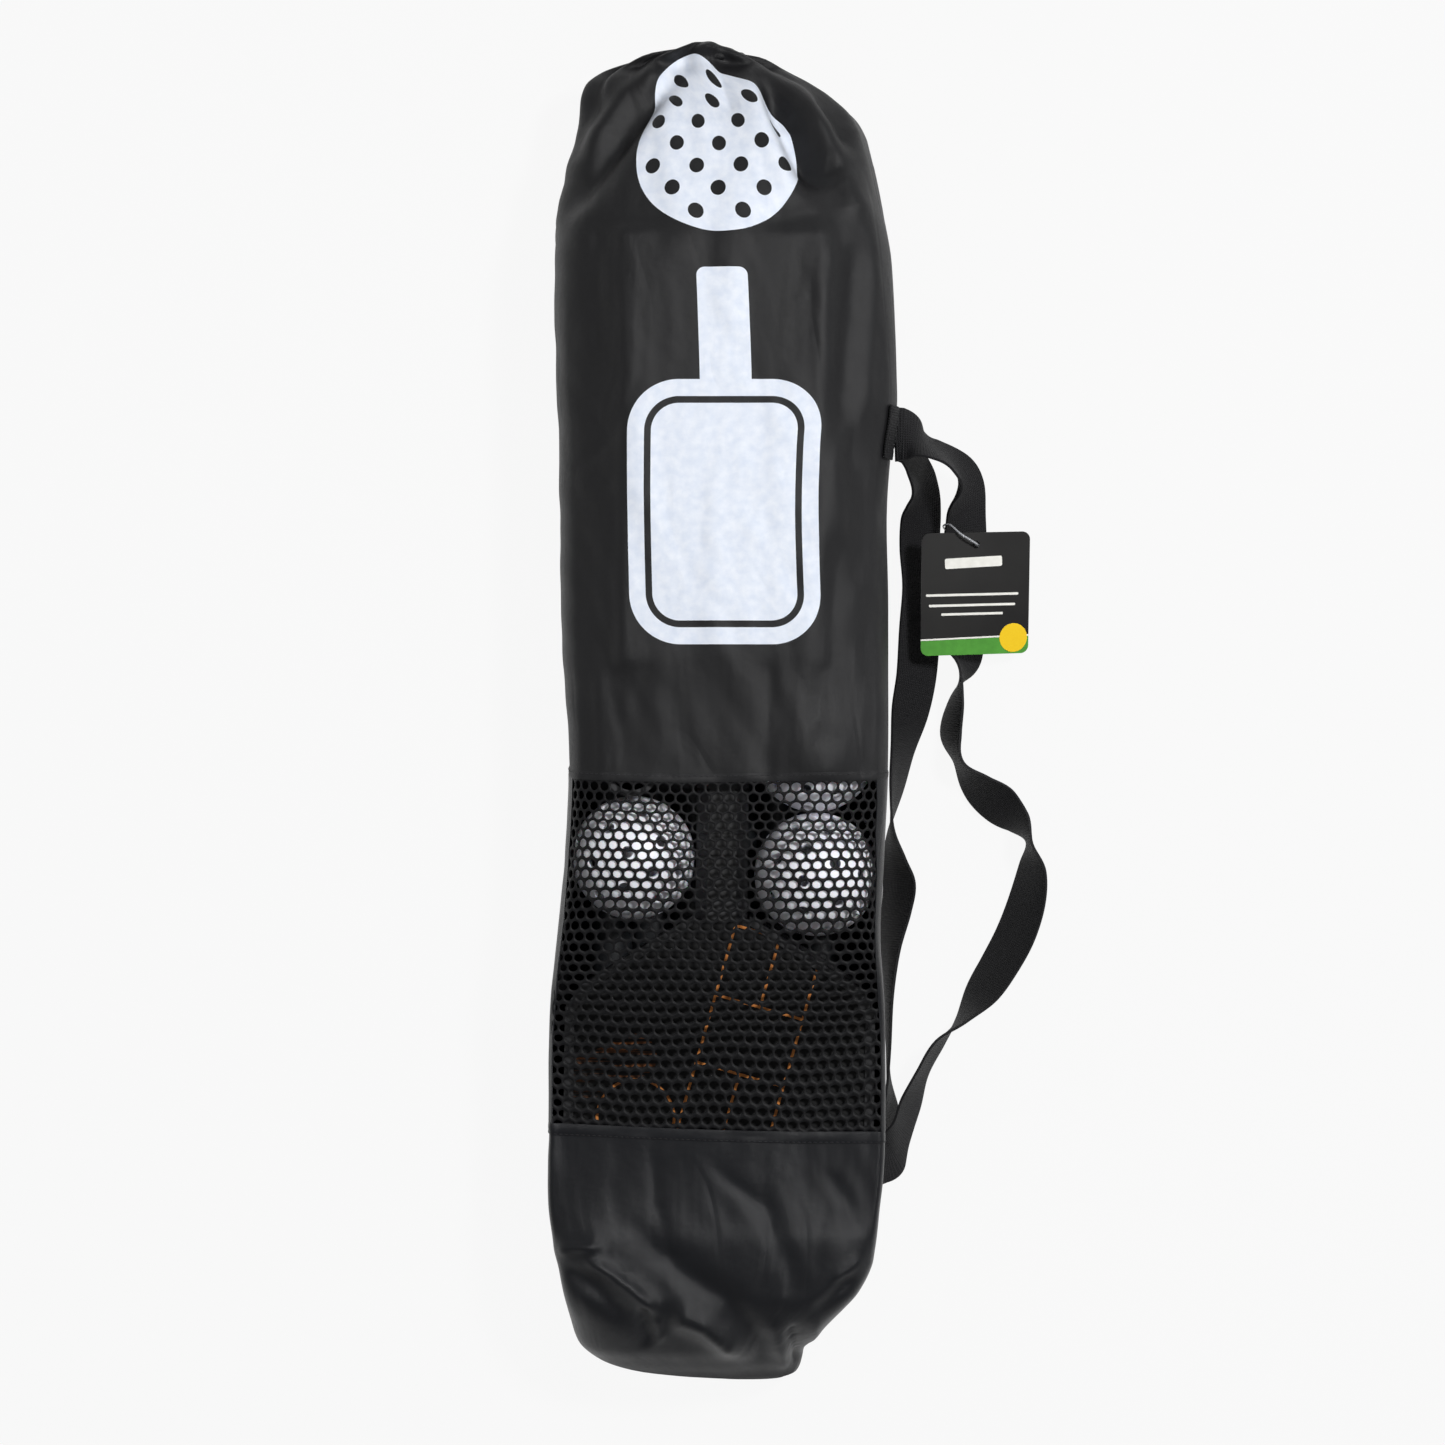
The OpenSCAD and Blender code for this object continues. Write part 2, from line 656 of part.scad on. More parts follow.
module webbing_strap(points, shares) {
    route = sewn(points, shares);
    steps = (len(route) - 1) * strap_smoothing;
    rings = [for (i = [0:steps]) strap_ring(route, i / strap_smoothing)];
    // The two faces are split along the same diagonal, so that a twist leaves the wall whole.
    faces = concat(
        [[0, 1, 2], [0, 2, 3]],
        [for (i = [0:steps - 1], k = [0:3])
            let (a = 4 * i + k, b = 4 * i + (k + 1) % 4)
            each k == 2
                ? [[a, a + 4, b], [b, a + 4, b + 4]]
                : [[a, a + 4, b + 4], [a, b + 4, b]]],
        [[4 * steps, 4 * steps + 2, 4 * steps + 1], [4 * steps, 4 * steps + 3, 4 * steps + 2]]
    );
    color(webbing) polyhedron(flat(rings), faces, convexity = 8);
}

// ---- Hang tag ----

tag_at = beside([61, 379, 36]);
tag_lean = [9, 13, 2];

module in_tag() {
    translate(tag_at) rotate(tag_lean) children();
}

// The card's lower left corner in its own plane, with the hole at the middle
tag_low = [-tag_w / 2, tag_hole_drop - tag_h];

module card_outline() {
    r = tag_corner_r;
    translate(tag_low + [r, 0]) square([tag_w - 2 * r, tag_h]);
    translate(tag_low + [0, r]) square([tag_w, tag_h - 2 * r]);
    for (x = [r, tag_w - r], y = [r, tag_h - r])
        translate(tag_low + [x, y]) circle(r);
}

module tag_card() {
    color(blade_black)
        in_tag()
        translate([0, 0, -tag_t / 2])
        linear_extrude(tag_t)
        difference() {
            card_outline();
            circle(d = tag_hole_d);
        }
}

sticker_t = 0.3;

module tag_sticker() {
    inset = sticker_d / 2 + 1;
    color("#f2c80f")
        in_tag()
        translate([tag_w / 2 - inset, tag_low[1] + inset, tag_t / 2])
        cylinder(d = sticker_d, h = sticker_t);
}

// The loop goes through the hole and round the outer strap.
LOOP_ROUTE = [
    tag_at + [0.1, 0, 5], beside([51, 385, 44]), beside([44.7, 391, 38]),
    beside([41.7, 391, 26]), beside([45.7, 388, 12]), beside([52, 386, 5]),
    beside([65, 382, 2]), beside([75, 379, 8]), beside([74, 378, 20]),
    beside([67, 378, 29]), tag_at + [0.1, 0, -3.5],
];

loop_sides = 8;
loop_smoothing = 3;

// One ring of the loop's round cross-section at u along its closed route
function loop_ring(u) =
    let (
        n = len(LOOP_ROUTE),
        i = floor(u),
        p = [for (k = [-1:2]) LOOP_ROUTE[(i + k + n) % n]],
        t = u - i,
        here = cubic(p[0], p[1], p[2], p[3], t),
        way = unit(cubic(p[0], p[1], p[2], p[3], t + 0.01) - cubic(p[0], p[1], p[2], p[3], t - 0.01)),
        side = unit(cross(way, [0, 1, 0])),
        up = cross(side, way)
    )
    [for (k = [0:loop_sides - 1])
        let (a = 360 * k / loop_sides)
        here + loop_d / 2 * (cos(a) * side + sin(a) * up)];

module tag_loop() {
    rings = len(LOOP_ROUTE) * loop_smoothing;
    points = [for (i = [0:rings - 1]) each loop_ring(i / loop_smoothing)];
    faces = [for (i = [0:rings - 1], k = [0:loop_sides - 1])
        let (
            j = (i + 1) % rings,
            m = (k + 1) % loop_sides,
            a = loop_sides * i + k,
            b = loop_sides * i + m,
            c = loop_sides * j + m,
            d = loop_sides * j + k
        )
        each [[a, b, c], [a, c, d]]];
    color("#d8d8d8") polyhedron(points, faces, convexity = 4);
}

// ---- Balls ----

// Rings of holes from pole to pole: angle from the pole and holes in the ring
HOLE_RINGS = [[0, 1], [30, 5], [60, 9], [90, 10], [120, 9], [150, 5], [180, 1]];
ball_left_at = [-49.4, shoulder_y + 36, ball_z];
ball_right_at = [60, shoulder_y + 26, ball_z];
ball_upper_at = [59.5, shoulder_y + 26 + ball_d + pack_gap, ball_z];

module ball(place, turn) {
    color(ball_white)
        translate(place)
        rotate(turn)
        difference() {
            sphere(r = ball_r);
            sphere(r = ball_r - ball_wall);
            for (ring = HOLE_RINGS, k = [0:ring[1] - 1])
                rotate([0, ring[0], (k + 0.5) * 360 / ring[1]])
                    translate([0, 0, ball_r - 3 * ball_wall])
                    cylinder(d = ball_hole_d, h = 5 * ball_wall, $fn = 24);
        }
}

// ---- Paddles ----

handle_core_w = 24;
collar_len = 12;
butt_len = 10;
grip_len = paddle_len - head_len - collar_len - butt_len;
shoulder_slope = 0.55;
shoulder_cut = [10, 14];
neck_half = 17;
throat_depth = 6;

// Blade outline in its plane, tip at the origin, handle towards +Y
module blade_outline(grow = 0) {
    half = paddle_w / 2 - guard_t + grow;
    r = head_r + grow;
    side_top = head_len + grow - (half - neck_half) * shoulder_slope;
    translate([-half + r, -grow + guard_t]) square([2 * (half - r), r]);
    for (s = [-1, 1])
        translate([s * (half - r), r - grow + guard_t]) circle(r, $fn = 96);
    polygon([
        [-half, r], [half, r], [half, side_top - shoulder_cut[1]],
        [half - shoulder_cut[0], side_top], [neck_half, head_len + grow],
        [-neck_half, head_len + grow], [-half + shoulder_cut[0], side_top],
        [-half, side_top - shoulder_cut[1]],
    ]);
}

module at_paddle(level, x, turn) {
    translate([x, tip_y, level]) rotate([0, 0, turn]) children();
}

module paddle_blade() {
    translate([0, 0, -blade_t / 2])
        linear_extrude(blade_t)
        union() {
            blade_outline();
            translate([-handle_core_w / 2, head_len - 1])
                square([handle_core_w, paddle_len - head_len - butt_len + 1]);
        }
}

module edge_guard() {
    high = blade_t + 2 * guard_t;
    difference() {
        translate([0, 0, -high / 2]) linear_extrude(high) blade_outline(guard_t);
        translate([0, 0, -high]) linear_extrude(2 * high) blade_outline(-guard_lip);
        translate([0, 0, -blade_t / 2]) linear_extrude(blade_t) blade_outline();
        translate([-neck_half, head_len - throat_depth, -high])
            cube([2 * neck_half, 2 * throat_depth + guard_t, 2 * high]);
    }
}

// Eight-sided bar along the handle
module handle_bar(w, t, from, length) {
    bevel = 7;
    translate([0, from, 0])
        rotate([-90, 0, 0])
        linear_extrude(length)
        polygon([
            [-w / 2, -t / 2 + bevel], [-w / 2 + bevel, -t / 2], [w / 2 - bevel, -t / 2],
            [w / 2, -t / 2 + bevel], [w / 2, t / 2 - bevel], [w / 2 - bevel, t / 2],
            [-w / 2 + bevel, t / 2], [-w / 2, t / 2 - bevel],
        ]);
}

module handle_core_space(from, length) {
    translate([-handle_core_w / 2, from, -blade_t / 2]) cube([handle_core_w, length, blade_t]);
}

module paddle_collar() {
    difference() {
        handle_bar(grip_w, grip_t, head_len, collar_len);
        handle_core_space(head_len - 1, collar_len + 2);
    }
}

module paddle_grip() {
    from = head_len + collar_len;
    turn_len = grip_len / grip_turns;
    seam = 1.2;
    difference() {
        union() {
            handle_bar(grip_w - 2.4, grip_t - 2.4, from, grip_len);
            for (i = [0:grip_turns - 1])
                handle_bar(grip_w, grip_t, from + i * turn_len, turn_len - seam);
        }
        handle_core_space(from - 1, grip_len + 2);
    }
}

module paddle_butt_cap() {
    from = paddle_len - butt_len;
    crown = 2;
    handle_bar(grip_w, grip_t, from, butt_len - crown);
    handle_bar(grip_w - 3 * crown, grip_t - 3 * crown, from + butt_len - crown, crown);
}

module front_paddle() {
    at_paddle(front_z, front_paddle_x, front_paddle_turn) children();
}

module rear_paddle() {
    at_paddle(rear_z, rear_paddle_x, 0) children();
}

// ---- Net frame ----

bore_r = pole_d / 2 - pole_wall;
swage_r = bore_r - swage_fit;
swage_neck = 6;

function upper_x(i) = (i - (upper_count - 1) / 2) * pole_pitch;
function crossbar_x(i) = (i - (crossbar_count - 1) / 2) * pole_pitch;

module along_bag(x, y, z) {
    translate([x, y, z]) rotate([-90, 0, 0]) children();
}

module tube(length) {
    difference() {
        cylinder(r = pole_d / 2, h = length);
        translate([0, 0, -1]) cylinder(r = bore_r, h = length + 2);
    }
}

button_y = swage_len / 2;

module button_hole(at) {
    translate([0, 0, at])
        rotate([90, 0, 0])
        cylinder(d = button_d + 2 * button_fit, h = pole_d);
}

// A crossbar has a reduced plug end with a button hole, and an open end.
module crossbar(i) {
    plain = swage_len + swage_neck;
    thin = swage_r - pole_wall;
    color(steel)
        along_bag(crossbar_x(i), poles_y, lower_z)
        difference() {
            union() {
                translate([0, 0, plain]) cylinder(r = pole_d / 2, h = pole_len - plain);
                translate([0, 0, swage_len]) cylinder(r1 = swage_r, r2 = pole_d / 2, h = swage_neck);
                cylinder(r = swage_r, h = swage_len);
            }
            translate([0, 0, -1]) cylinder(r = thin, h = swage_len + 2);
            translate([0, 0, swage_len]) cylinder(r1 = thin, r2 = bore_r, h = swage_neck);
            translate([0, 0, plain - 0.01]) cylinder(r = bore_r, h = pole_len);
            button_hole(button_y);
            button_hole(pole_len - button_y);
        }
}

// The last crossbar takes a plug at both ends, so it is open and plain.
module last_crossbar() {
    color(steel)
        along_bag(crossbar_x(crossbar_count - 1), poles_y, lower_z)
        difference() {
            tube(pole_len);
            button_hole(button_y);
            button_hole(pole_len - button_y);
        }
}

button_seat = 3;
leaf_t = 0.8;
leaf_w = 7;
leaf_len = 34;

// Domed pin that a leaf spring holds out through its hole
module snap_button(i) {
    base = swage_r - pole_wall - button_seat;
    tall = button_seat + pole_wall + button_travel;
    dome = 1.2;
    color(spring_steel)
        translate([crossbar_x(i), poles_y + button_y, lower_z + base])
        union() {
            cylinder(d = button_d, h = tall - dome);
            translate([0, 0, tall - dome]) cylinder(d1 = button_d, d2 = button_d - 2 * dome, h = dome);
            cylinder(d = button_d + 2, h = 1);
        }
}

// Bent leaf under each button, from the far wall of the tube up to the button
module button_spring(i) {
    inner = swage_r - pole_wall;
    low = lower_z - inner + 2 * leaf_t;
    high = lower_z + inner - button_seat - leaf_t - pack_gap / 3;
    drop = high - low - 0.5;
    color(spring_steel)
        translate([crossbar_x(i) - leaf_w / 2, poles_y + button_y, 0])
        rotate([90, 0, 90])
        linear_extrude(leaf_w)
        polygon([
            [-6, high], [leaf_len * 0.3, high], [leaf_len * 0.62, high - drop / 2],
            [leaf_len * 0.3, low + leaf_t], [-10, low + leaf_t], [-10, low],
            [leaf_len * 0.34, low], [leaf_len * 0.68, high - drop / 2],
            [leaf_len * 0.34, high + leaf_t], [-6, high + leaf_t],
        ]);
}

upper_y = poles_y + swage_len + swage_neck;
plug_reach = 12;

module upper_tube(i, length) {
    color(steel) along_bag(upper_x(i), upper_y, upper_z) tube(length);
}

// Moulded plugs close the far ends of the uprights.
module end_plug(x, y, z, side) {
    translate([x, y, z])
        rotate([side * -90, 0, 0]) {
            cylinder(r = pole_d / 2, h = plug_flange);
            translate([0, 0, -plug_reach])
                cylinder(r = bore_r - pack_gap / 3, h = plug_reach + 0.01);
        }
}

upright_slots = [0, 1, 4, 5];
foot_slots = [2, 3];

module tube_end_plugs() {
    color(plastic)
        for (i = upright_slots) end_plug(upper_x(i), upper_y + upright_len, upper_z, 1);
}

// Rubber cups over both ends of each foot tube
module rubber_feet() {
    color(plastic)
        for (i = foot_slots, side = [-1, 1]) {
            end = side < 0 ? upper_y : upper_y + foot_len;
            end_plug(upper_x(i), end, upper_z, side);
        }
}

// Three-way corner piece with open sockets for foot tube, upright and crossbar
module corner_connector(row) {
    bore = pole_d / 2 + socket_fit;
    rim_d = connector_d + 2 * rim;
    color(plastic)
        translate([connector_x, connector_y + row * connector_step, connector_z])
        difference() {
            union() {
                rotate([0, 90, 0]) cylinder(d = connector_d, h = connector_run, center = true);
                cylinder(d = connector_d, h = connector_branch);
                for (s = [-1, 1])
                    translate([s * (connector_run - rim_len) / 2, 0, 0])
                        rotate([0, 90, 0])
                        cylinder(d = rim_d, h = rim_len, center = true);
                translate([0, 0, connector_branch - rim_len]) cylinder(d = rim_d, h = rim_len);
            }
            rotate([0, 90, 0]) cylinder(r = bore, h = connector_run + 2, center = true);
            cylinder(r = bore, h = connector_branch + 1);
        }
}

rim = 1;
rim_len = 6;
socket_fit = 0.15;
connector_x = -50;
connector_z = poles_top + pack_gap + connector_d / 2 + rim;
connector_y = ball_left_at[1] + ball_d / 2 + pack_gap + connector_d / 2 + rim;
connector_step = connector_d + 2 * rim + pack_gap;

// ---- Net ----

// The roll lies between the paddle butts and the far ends of the crossbars.
roll_x = rear_paddle_x;
roll_gap = 12;
roll_y0 = roll_gap + max(
    butt_y,
    ball_upper_at[1] + ball_r,
    connector_y + connector_step + connector_d / 2 + rim
);
roll_y1 = poles_y + pole_len - 56;
roll_core_r = 6;
tape_extra = 0.6;

// Flat roll: a spiral of half rounds joined by straight runs
function roll_point(turn, shrink) =
    let (
        pitch = (roll_h / 2 - roll_core_r) / roll_turns,
        r = roll_h / 2 - shrink - pitch * turn,
        a = 360 * turn,
        flat_half = roll_w / 2 - roll_h / 2
    )
    [(cos(a) >= 0 ? 1 : -1) * flat_half + r * cos(a), r * sin(a)];

module roll_outline(thick) {
    steps_per_turn = 28;
    steps = steps_per_turn * roll_turns;
    ends = [0.02, roll_turns - 0.5];
    turns = [for (i = [0:steps]) mix(ends[0], ends[1], i / steps)];
    polygon(concat(
        [for (t = turns) roll_point(t, 0)],
        [for (i = [len(turns) - 1:-1:0]) roll_point(turns[i], thick)]
    ));
}

module rolled(y0, y1, thick) {
    translate([roll_x, y1, roll_z])
        rotate([90, 0, 0])
        linear_extrude(y1 - y0)
        roll_outline(thick);
}

module net_roll() {
    color(black) rolled(roll_y0, roll_y1 - tape_w - pack_gap, net_t);
}

module net_head_tape() {
    color(tape_white) rolled(roll_y1 - tape_w, roll_y1, net_t + tape_extra);
}

// Hook-and-loop band round the roll
module net_tie() {
    y = mix(roll_y0, roll_y1, 0.35);
    inner = roll_h / 2 + pack_gap / 3;
    flat_half = roll_w / 2 - roll_h / 2;
    color(webbing)
        translate([roll_x, y, roll_z])
        rotate([90, 0, 0])
        linear_extrude(tie_w)
        difference() {
            tie_outline(flat_half, inner + tie_t);
            tie_outline(flat_half, inner);
        }
}

module tie_outline(flat_half, r) {
    translate([-flat_half, -r]) square([2 * flat_half, 2 * r]);
    for (s = [-1, 1]) translate([s * flat_half, 0]) circle(r, $fn = 96);
}

// ---- Nodes ----

bag_back_panel();
bag_upper_panel();
bag_mesh_window();
bag_lower_panel();
bag_foot_closure();
mouth_hem();
mouth_eyelet();
window_hem(window_y1, window_y1 + hem_depth);  // window_hem_upper
window_hem(window_y0 - hem_depth, window_y0);  // window_hem_lower
strap_anchor(anchor_top_y, anchor_top_share, anchor_top_share + anchor_share);  // strap_anchor_top
strap_anchor(anchor_bottom_y, anchor_bottom_share, anchor_bottom_share + anchor_share);  // strap_anchor_bottom
webbing_strap(OUTER_ROUTE, outer_shares);  // outer_strap
webbing_strap(INNER_ROUTE, inner_shares);  // inner_strap
tag_card();
tag_sticker();
tag_loop();
ball(ball_left_at, [20, 10, 35]);  // ball_left
ball(ball_right_at, [-15, 25, 80]);  // ball_right
ball(ball_upper_at, [35, -20, 10]);  // ball_upper
color(blade_black) front_paddle() paddle_blade();  // front_paddle_blade
color(plastic) front_paddle() edge_guard();  // front_paddle_edge_guard
color(webbing) front_paddle() paddle_grip();  // front_paddle_grip
color(plastic) front_paddle() paddle_collar();  // front_paddle_collar
color(plastic) front_paddle() paddle_butt_cap();  // front_paddle_butt_cap
color(blade_black) rear_paddle() paddle_blade();  // rear_paddle_blade
color(plastic) rear_paddle() edge_guard();  // rear_paddle_edge_guard
color(webbing) rear_paddle() paddle_grip();  // rear_paddle_grip
color(plastic) rear_paddle() paddle_collar();  // rear_paddle_collar
color(plastic) rear_paddle() paddle_butt_cap();  // rear_paddle_butt_cap
for (i = [0:crossbar_count - 2])
    crossbar(i);
last_crossbar();
upper_tube(0, upright_len);  // lower_upright_left
upper_tube(1, upright_len);  // upper_upright_left
upper_tube(2, foot_len);  // foot_tube_left
upper_tube(3, foot_len);  // foot_tube_right
upper_tube(4, upright_len);  // upper_upright_right
upper_tube(5, upright_len);  // lower_upright_right
tube_end_plugs();
rubber_feet();
corner_connector(0);  // corner_connector_left
corner_connector(1);  // corner_connector_right
for (i = [0:crossbar_count - 2])
    snap_button(i);
for (i = [0:crossbar_count - 2])
    button_spring(i);
net_roll();
net_head_tape();
net_tie();
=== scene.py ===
"""Portable pickleball net set in its drawn carry bag: cloth, mesh, webbing and finishes."""
import math

import bpy
import numpy as np
from mathutils import Euler, Matrix, Vector, noise


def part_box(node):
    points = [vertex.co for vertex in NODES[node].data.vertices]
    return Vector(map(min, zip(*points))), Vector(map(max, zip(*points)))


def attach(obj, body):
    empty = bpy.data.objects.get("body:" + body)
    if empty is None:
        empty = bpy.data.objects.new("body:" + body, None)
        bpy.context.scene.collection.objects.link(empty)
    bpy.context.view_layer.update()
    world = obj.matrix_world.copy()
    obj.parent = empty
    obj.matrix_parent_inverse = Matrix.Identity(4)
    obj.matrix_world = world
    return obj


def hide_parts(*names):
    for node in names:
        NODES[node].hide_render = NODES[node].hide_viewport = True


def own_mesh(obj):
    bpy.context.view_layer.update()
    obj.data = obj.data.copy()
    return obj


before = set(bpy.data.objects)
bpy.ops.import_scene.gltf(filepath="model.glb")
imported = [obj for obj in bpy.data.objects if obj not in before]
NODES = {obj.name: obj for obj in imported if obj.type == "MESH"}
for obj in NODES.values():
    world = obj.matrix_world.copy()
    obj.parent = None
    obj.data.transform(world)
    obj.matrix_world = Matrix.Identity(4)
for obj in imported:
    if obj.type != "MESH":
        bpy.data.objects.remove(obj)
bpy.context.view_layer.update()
MM = 0.001

# ---- Driving sizes, in millimetres ----

# The bag's two ends along y, and half its width where the straps lie beside it.
FOOT_Y, MOUTH_Y, HALF_W = -408, 408, 99.2
CLOTH_T, HEM_T = 0.9, 0.7
# Heights of the cloth over the paddles, the balls and the net roll, and where the rear paddle's
# shoulder and butt lie.
PADDLE_TOP, BALL_TOP, NET_TOP = 107.5, 127.5, 121.4
SHOULDER_Y, BUTT_Y = -117, 23
# Where the mesh window starts and ends.
WINDOW_Y = (-236, -30)
# The knit: spacing of its cells, width of a strand over that spacing, thickness, and the share
# of it that is yarn.
MESH_PITCH, MESH_STRAND_SHARE, MESH_T, MESH_SOLID = 7.1, 0.22, 1.0, 0.46
# How deep each hem lies on its panel, how far it reaches over the knit, and how far from the
# window its stitches lie.
UPPER_HEM, LOWER_HEM, HEM_OVER = 4.5, 7, 0.5
UPPER_STITCHES, LOWER_STITCHES = 3.2, 6.0
# Places round the girth are shares of it, and the front panel starts at this share.
SEAM_ROLL = 0.055
# The widest place of a section, as a share of the way from its underside to its top.
WIDEST_SHARE = 0.42
# The drawn mouth: its middle as x and z, its radius, and the radius of its hem.
MOUTH_AT, MOUTH_R, MOUTH_ROLL_R = (-3, 55), 19, 4.5
# The webbing's width and thickness, and how far it lies from the cloth.
STRAP_W, STRAP_T, STRAP_GAP = 32, 1.6, 0.3
# The straps' anchors: place along the bag, share of the girth, and width as such a share.
ANCHOR_Y = (-269, 174)
ANCHOR_SHARE, ANCHOR_WIDE = (1.005, 0.05), 0.025
STITCH_LEN, STITCH_PITCH, STITCH_D = 2.4, 3.3, 0.55

# The camera looks straight down on the middle of the bag, and takes in this width at the height
# of the balls' middles.
CAMERA_X, CAMERA_H = 3.9, 1786.5
VIEW_W, BALL_MID_Z, SENSOR_W = 867, 86.5, 36


def mix(a, b, t):
    """From a at t 0 to b at t 1."""
    return a + (b - a) * t


def bend(a, b, c, d, t):
    """From b at t 0 to c at t 1, on a smooth curve through all four."""
    return b + 0.5 * t * (c - a + t * (2 * a - 5 * b + 4 * c - d + t * (3 * (b - c) + d - a)))


def run_along(line):
    """How far along a line of places each of them lies."""
    return np.concatenate([[0], np.cumsum(np.linalg.norm(np.diff(line, axis=0), axis=1))])


def unit(v):
    """The same directions, each of length 1."""
    return v / np.maximum(np.linalg.norm(v, axis=-1, keepdims=True), 1e-9)


# ---- Modelling helpers ----

def pick(*things):
    """Selects only these objects, the first of them active."""
    bpy.ops.object.select_all(action="DESELECT")
    for thing in things:
        thing.select_set(True)
    bpy.context.view_layer.objects.active = things[0]


def finish_with(piece, kind, **settings):
    """Adds a modifier and applies it."""
    pick(piece)
    modifier = piece.modifiers.new(kind.title(), kind)
    for key, value in settings.items():
        setattr(modifier, key, value)
    bpy.ops.object.modifier_apply(modifier=modifier.name)
    return piece


def smooth(piece, angle=180):
    """Shades a piece smooth, but for edges sharper than this angle in degrees."""
    pick(piece)
    bpy.ops.object.shade_smooth_by_angle(angle=math.radians(angle))
    return piece


def thicken(piece, thick, offset=-1):
    """Gives a sheet its thickness in mm: inwards, or half to each side where the offset is 0."""
    return finish_with(piece, "SOLIDIFY", thickness=thick * MM, offset=offset)


def subdivide(piece):
    """Rounds a sheet between its points, and keeps its corners."""
    return finish_with(piece, "SUBSURF", levels=1, render_levels=1,
                       boundary_smooth="PRESERVE_CORNERS")


def round_edges(piece, width, angle):
    """Rounds by this width in mm the edges that are sharper than this angle in degrees."""
    return finish_with(piece, "BEVEL", width=width * MM, segments=2, limit_method="ANGLE",
                       angle_limit=math.radians(angle))


def points_of(piece):
    """The places of a mesh's points, one to a row."""
    flat = np.zeros(len(piece.data.vertices) * 3)
    piece.data.vertices.foreach_get("co", flat)
    return flat.reshape(-1, 3)


def add_object(name, add, **settings):
    """Adds a primitive while nothing else is selected, and names it."""
    bpy.ops.object.select_all(action="DESELECT")
    add(**settings)
    made = bpy.context.object
    made.name = made.data.name = name
    return made


def cloth_grid(name, points, laid):
    """A sheet of quads: points has its places in mm, laid its flat places in mm for its UV map."""
    rows, cols = points.shape[:2]
    sheet = add_object(name, bpy.ops.mesh.primitive_grid_add,
                       x_subdivisions=cols - 1, y_subdivisions=rows - 1, size=1)
    sheet.data.vertices.foreach_set("co", (points.reshape(-1, 3) * MM).ravel())
    corner = np.zeros(len(sheet.data.loops), np.int32)
    sheet.data.loops.foreach_get("vertex_index", corner)
    uv = (laid.reshape(-1, 2) * MM)[corner]
    sheet.data.uv_layers[0].data.foreach_set("uv", uv.ravel())
    sheet.data.update()
    return sheet


def close_round(piece, reach=0.0001):
    """Merges points that meet, as where a sheet closes on itself, and turns its faces outwards."""
    pick(piece)
    bpy.ops.object.mode_set(mode="EDIT")
    bpy.ops.mesh.select_all(action="SELECT")
    bpy.ops.mesh.remove_doubles(threshold=reach)
    bpy.ops.mesh.normals_make_consistent(inside=False)
    bpy.ops.object.mode_set(mode="OBJECT")
    return piece


def settle(piece, material, slot, body, *nodes):
    """Gives a finished piece its material, its body and the nodes that it stands for."""
    piece.data.materials.clear()
    piece.data.materials.append(material)
    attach(piece, body)
    if nodes:
        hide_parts(*nodes)
    return piece


# ---- Materials ----

def colour(hex_code):
    """An sRGB hex colour as linear RGBA."""
    parts = [int(hex_code[i:i + 2], 16) / 255 for i in (1, 3, 5)]
    return [p / 12.92 if p <= 0.04045 else ((p + 0.055) / 1.055) ** 2.4 for p in parts] + [1]


def feed(tree, node, takes):
    """Gives each of these inputs a value or a link. A node given as a source is its own output."""
    for key, value in takes.items():
        if isinstance(value, bpy.types.Node):
            value = value.outputs.get("Fac", value.outputs[0])
        if isinstance(value, bpy.types.NodeSocket):
            tree.links.new(value, node.inputs[key])
        else:
            node.inputs[key].default_value = value


def add_node(tree, kind, takes=None, ramp=None, **settings):
    """Adds one shader node with its settings and with what its inputs take.

    A ramp is the places of its two stops, and their colours.
    """
    made = tree.nodes.new("ShaderNode" + kind)
    for stop, place, tone in zip(made.color_ramp.elements, *ramp) if ramp else ():
        stop.position, stop.color = place, colour(tone)
    for key, value in settings.items():
        setattr(made, key, value)
    feed(tree, made, takes or {})
    return made


def new_material(name, **inputs):
    """A material whose shader has these values, with its node tree and that shader."""
    material = bpy.data.materials.new(name)
    material.use_nodes = True
    tree = material.node_tree
    shader = tree.nodes["Principled BSDF"]
    feed(tree, shader, {key.replace("_", " "): value for key, value in inputs.items()})
    return material, tree, shader


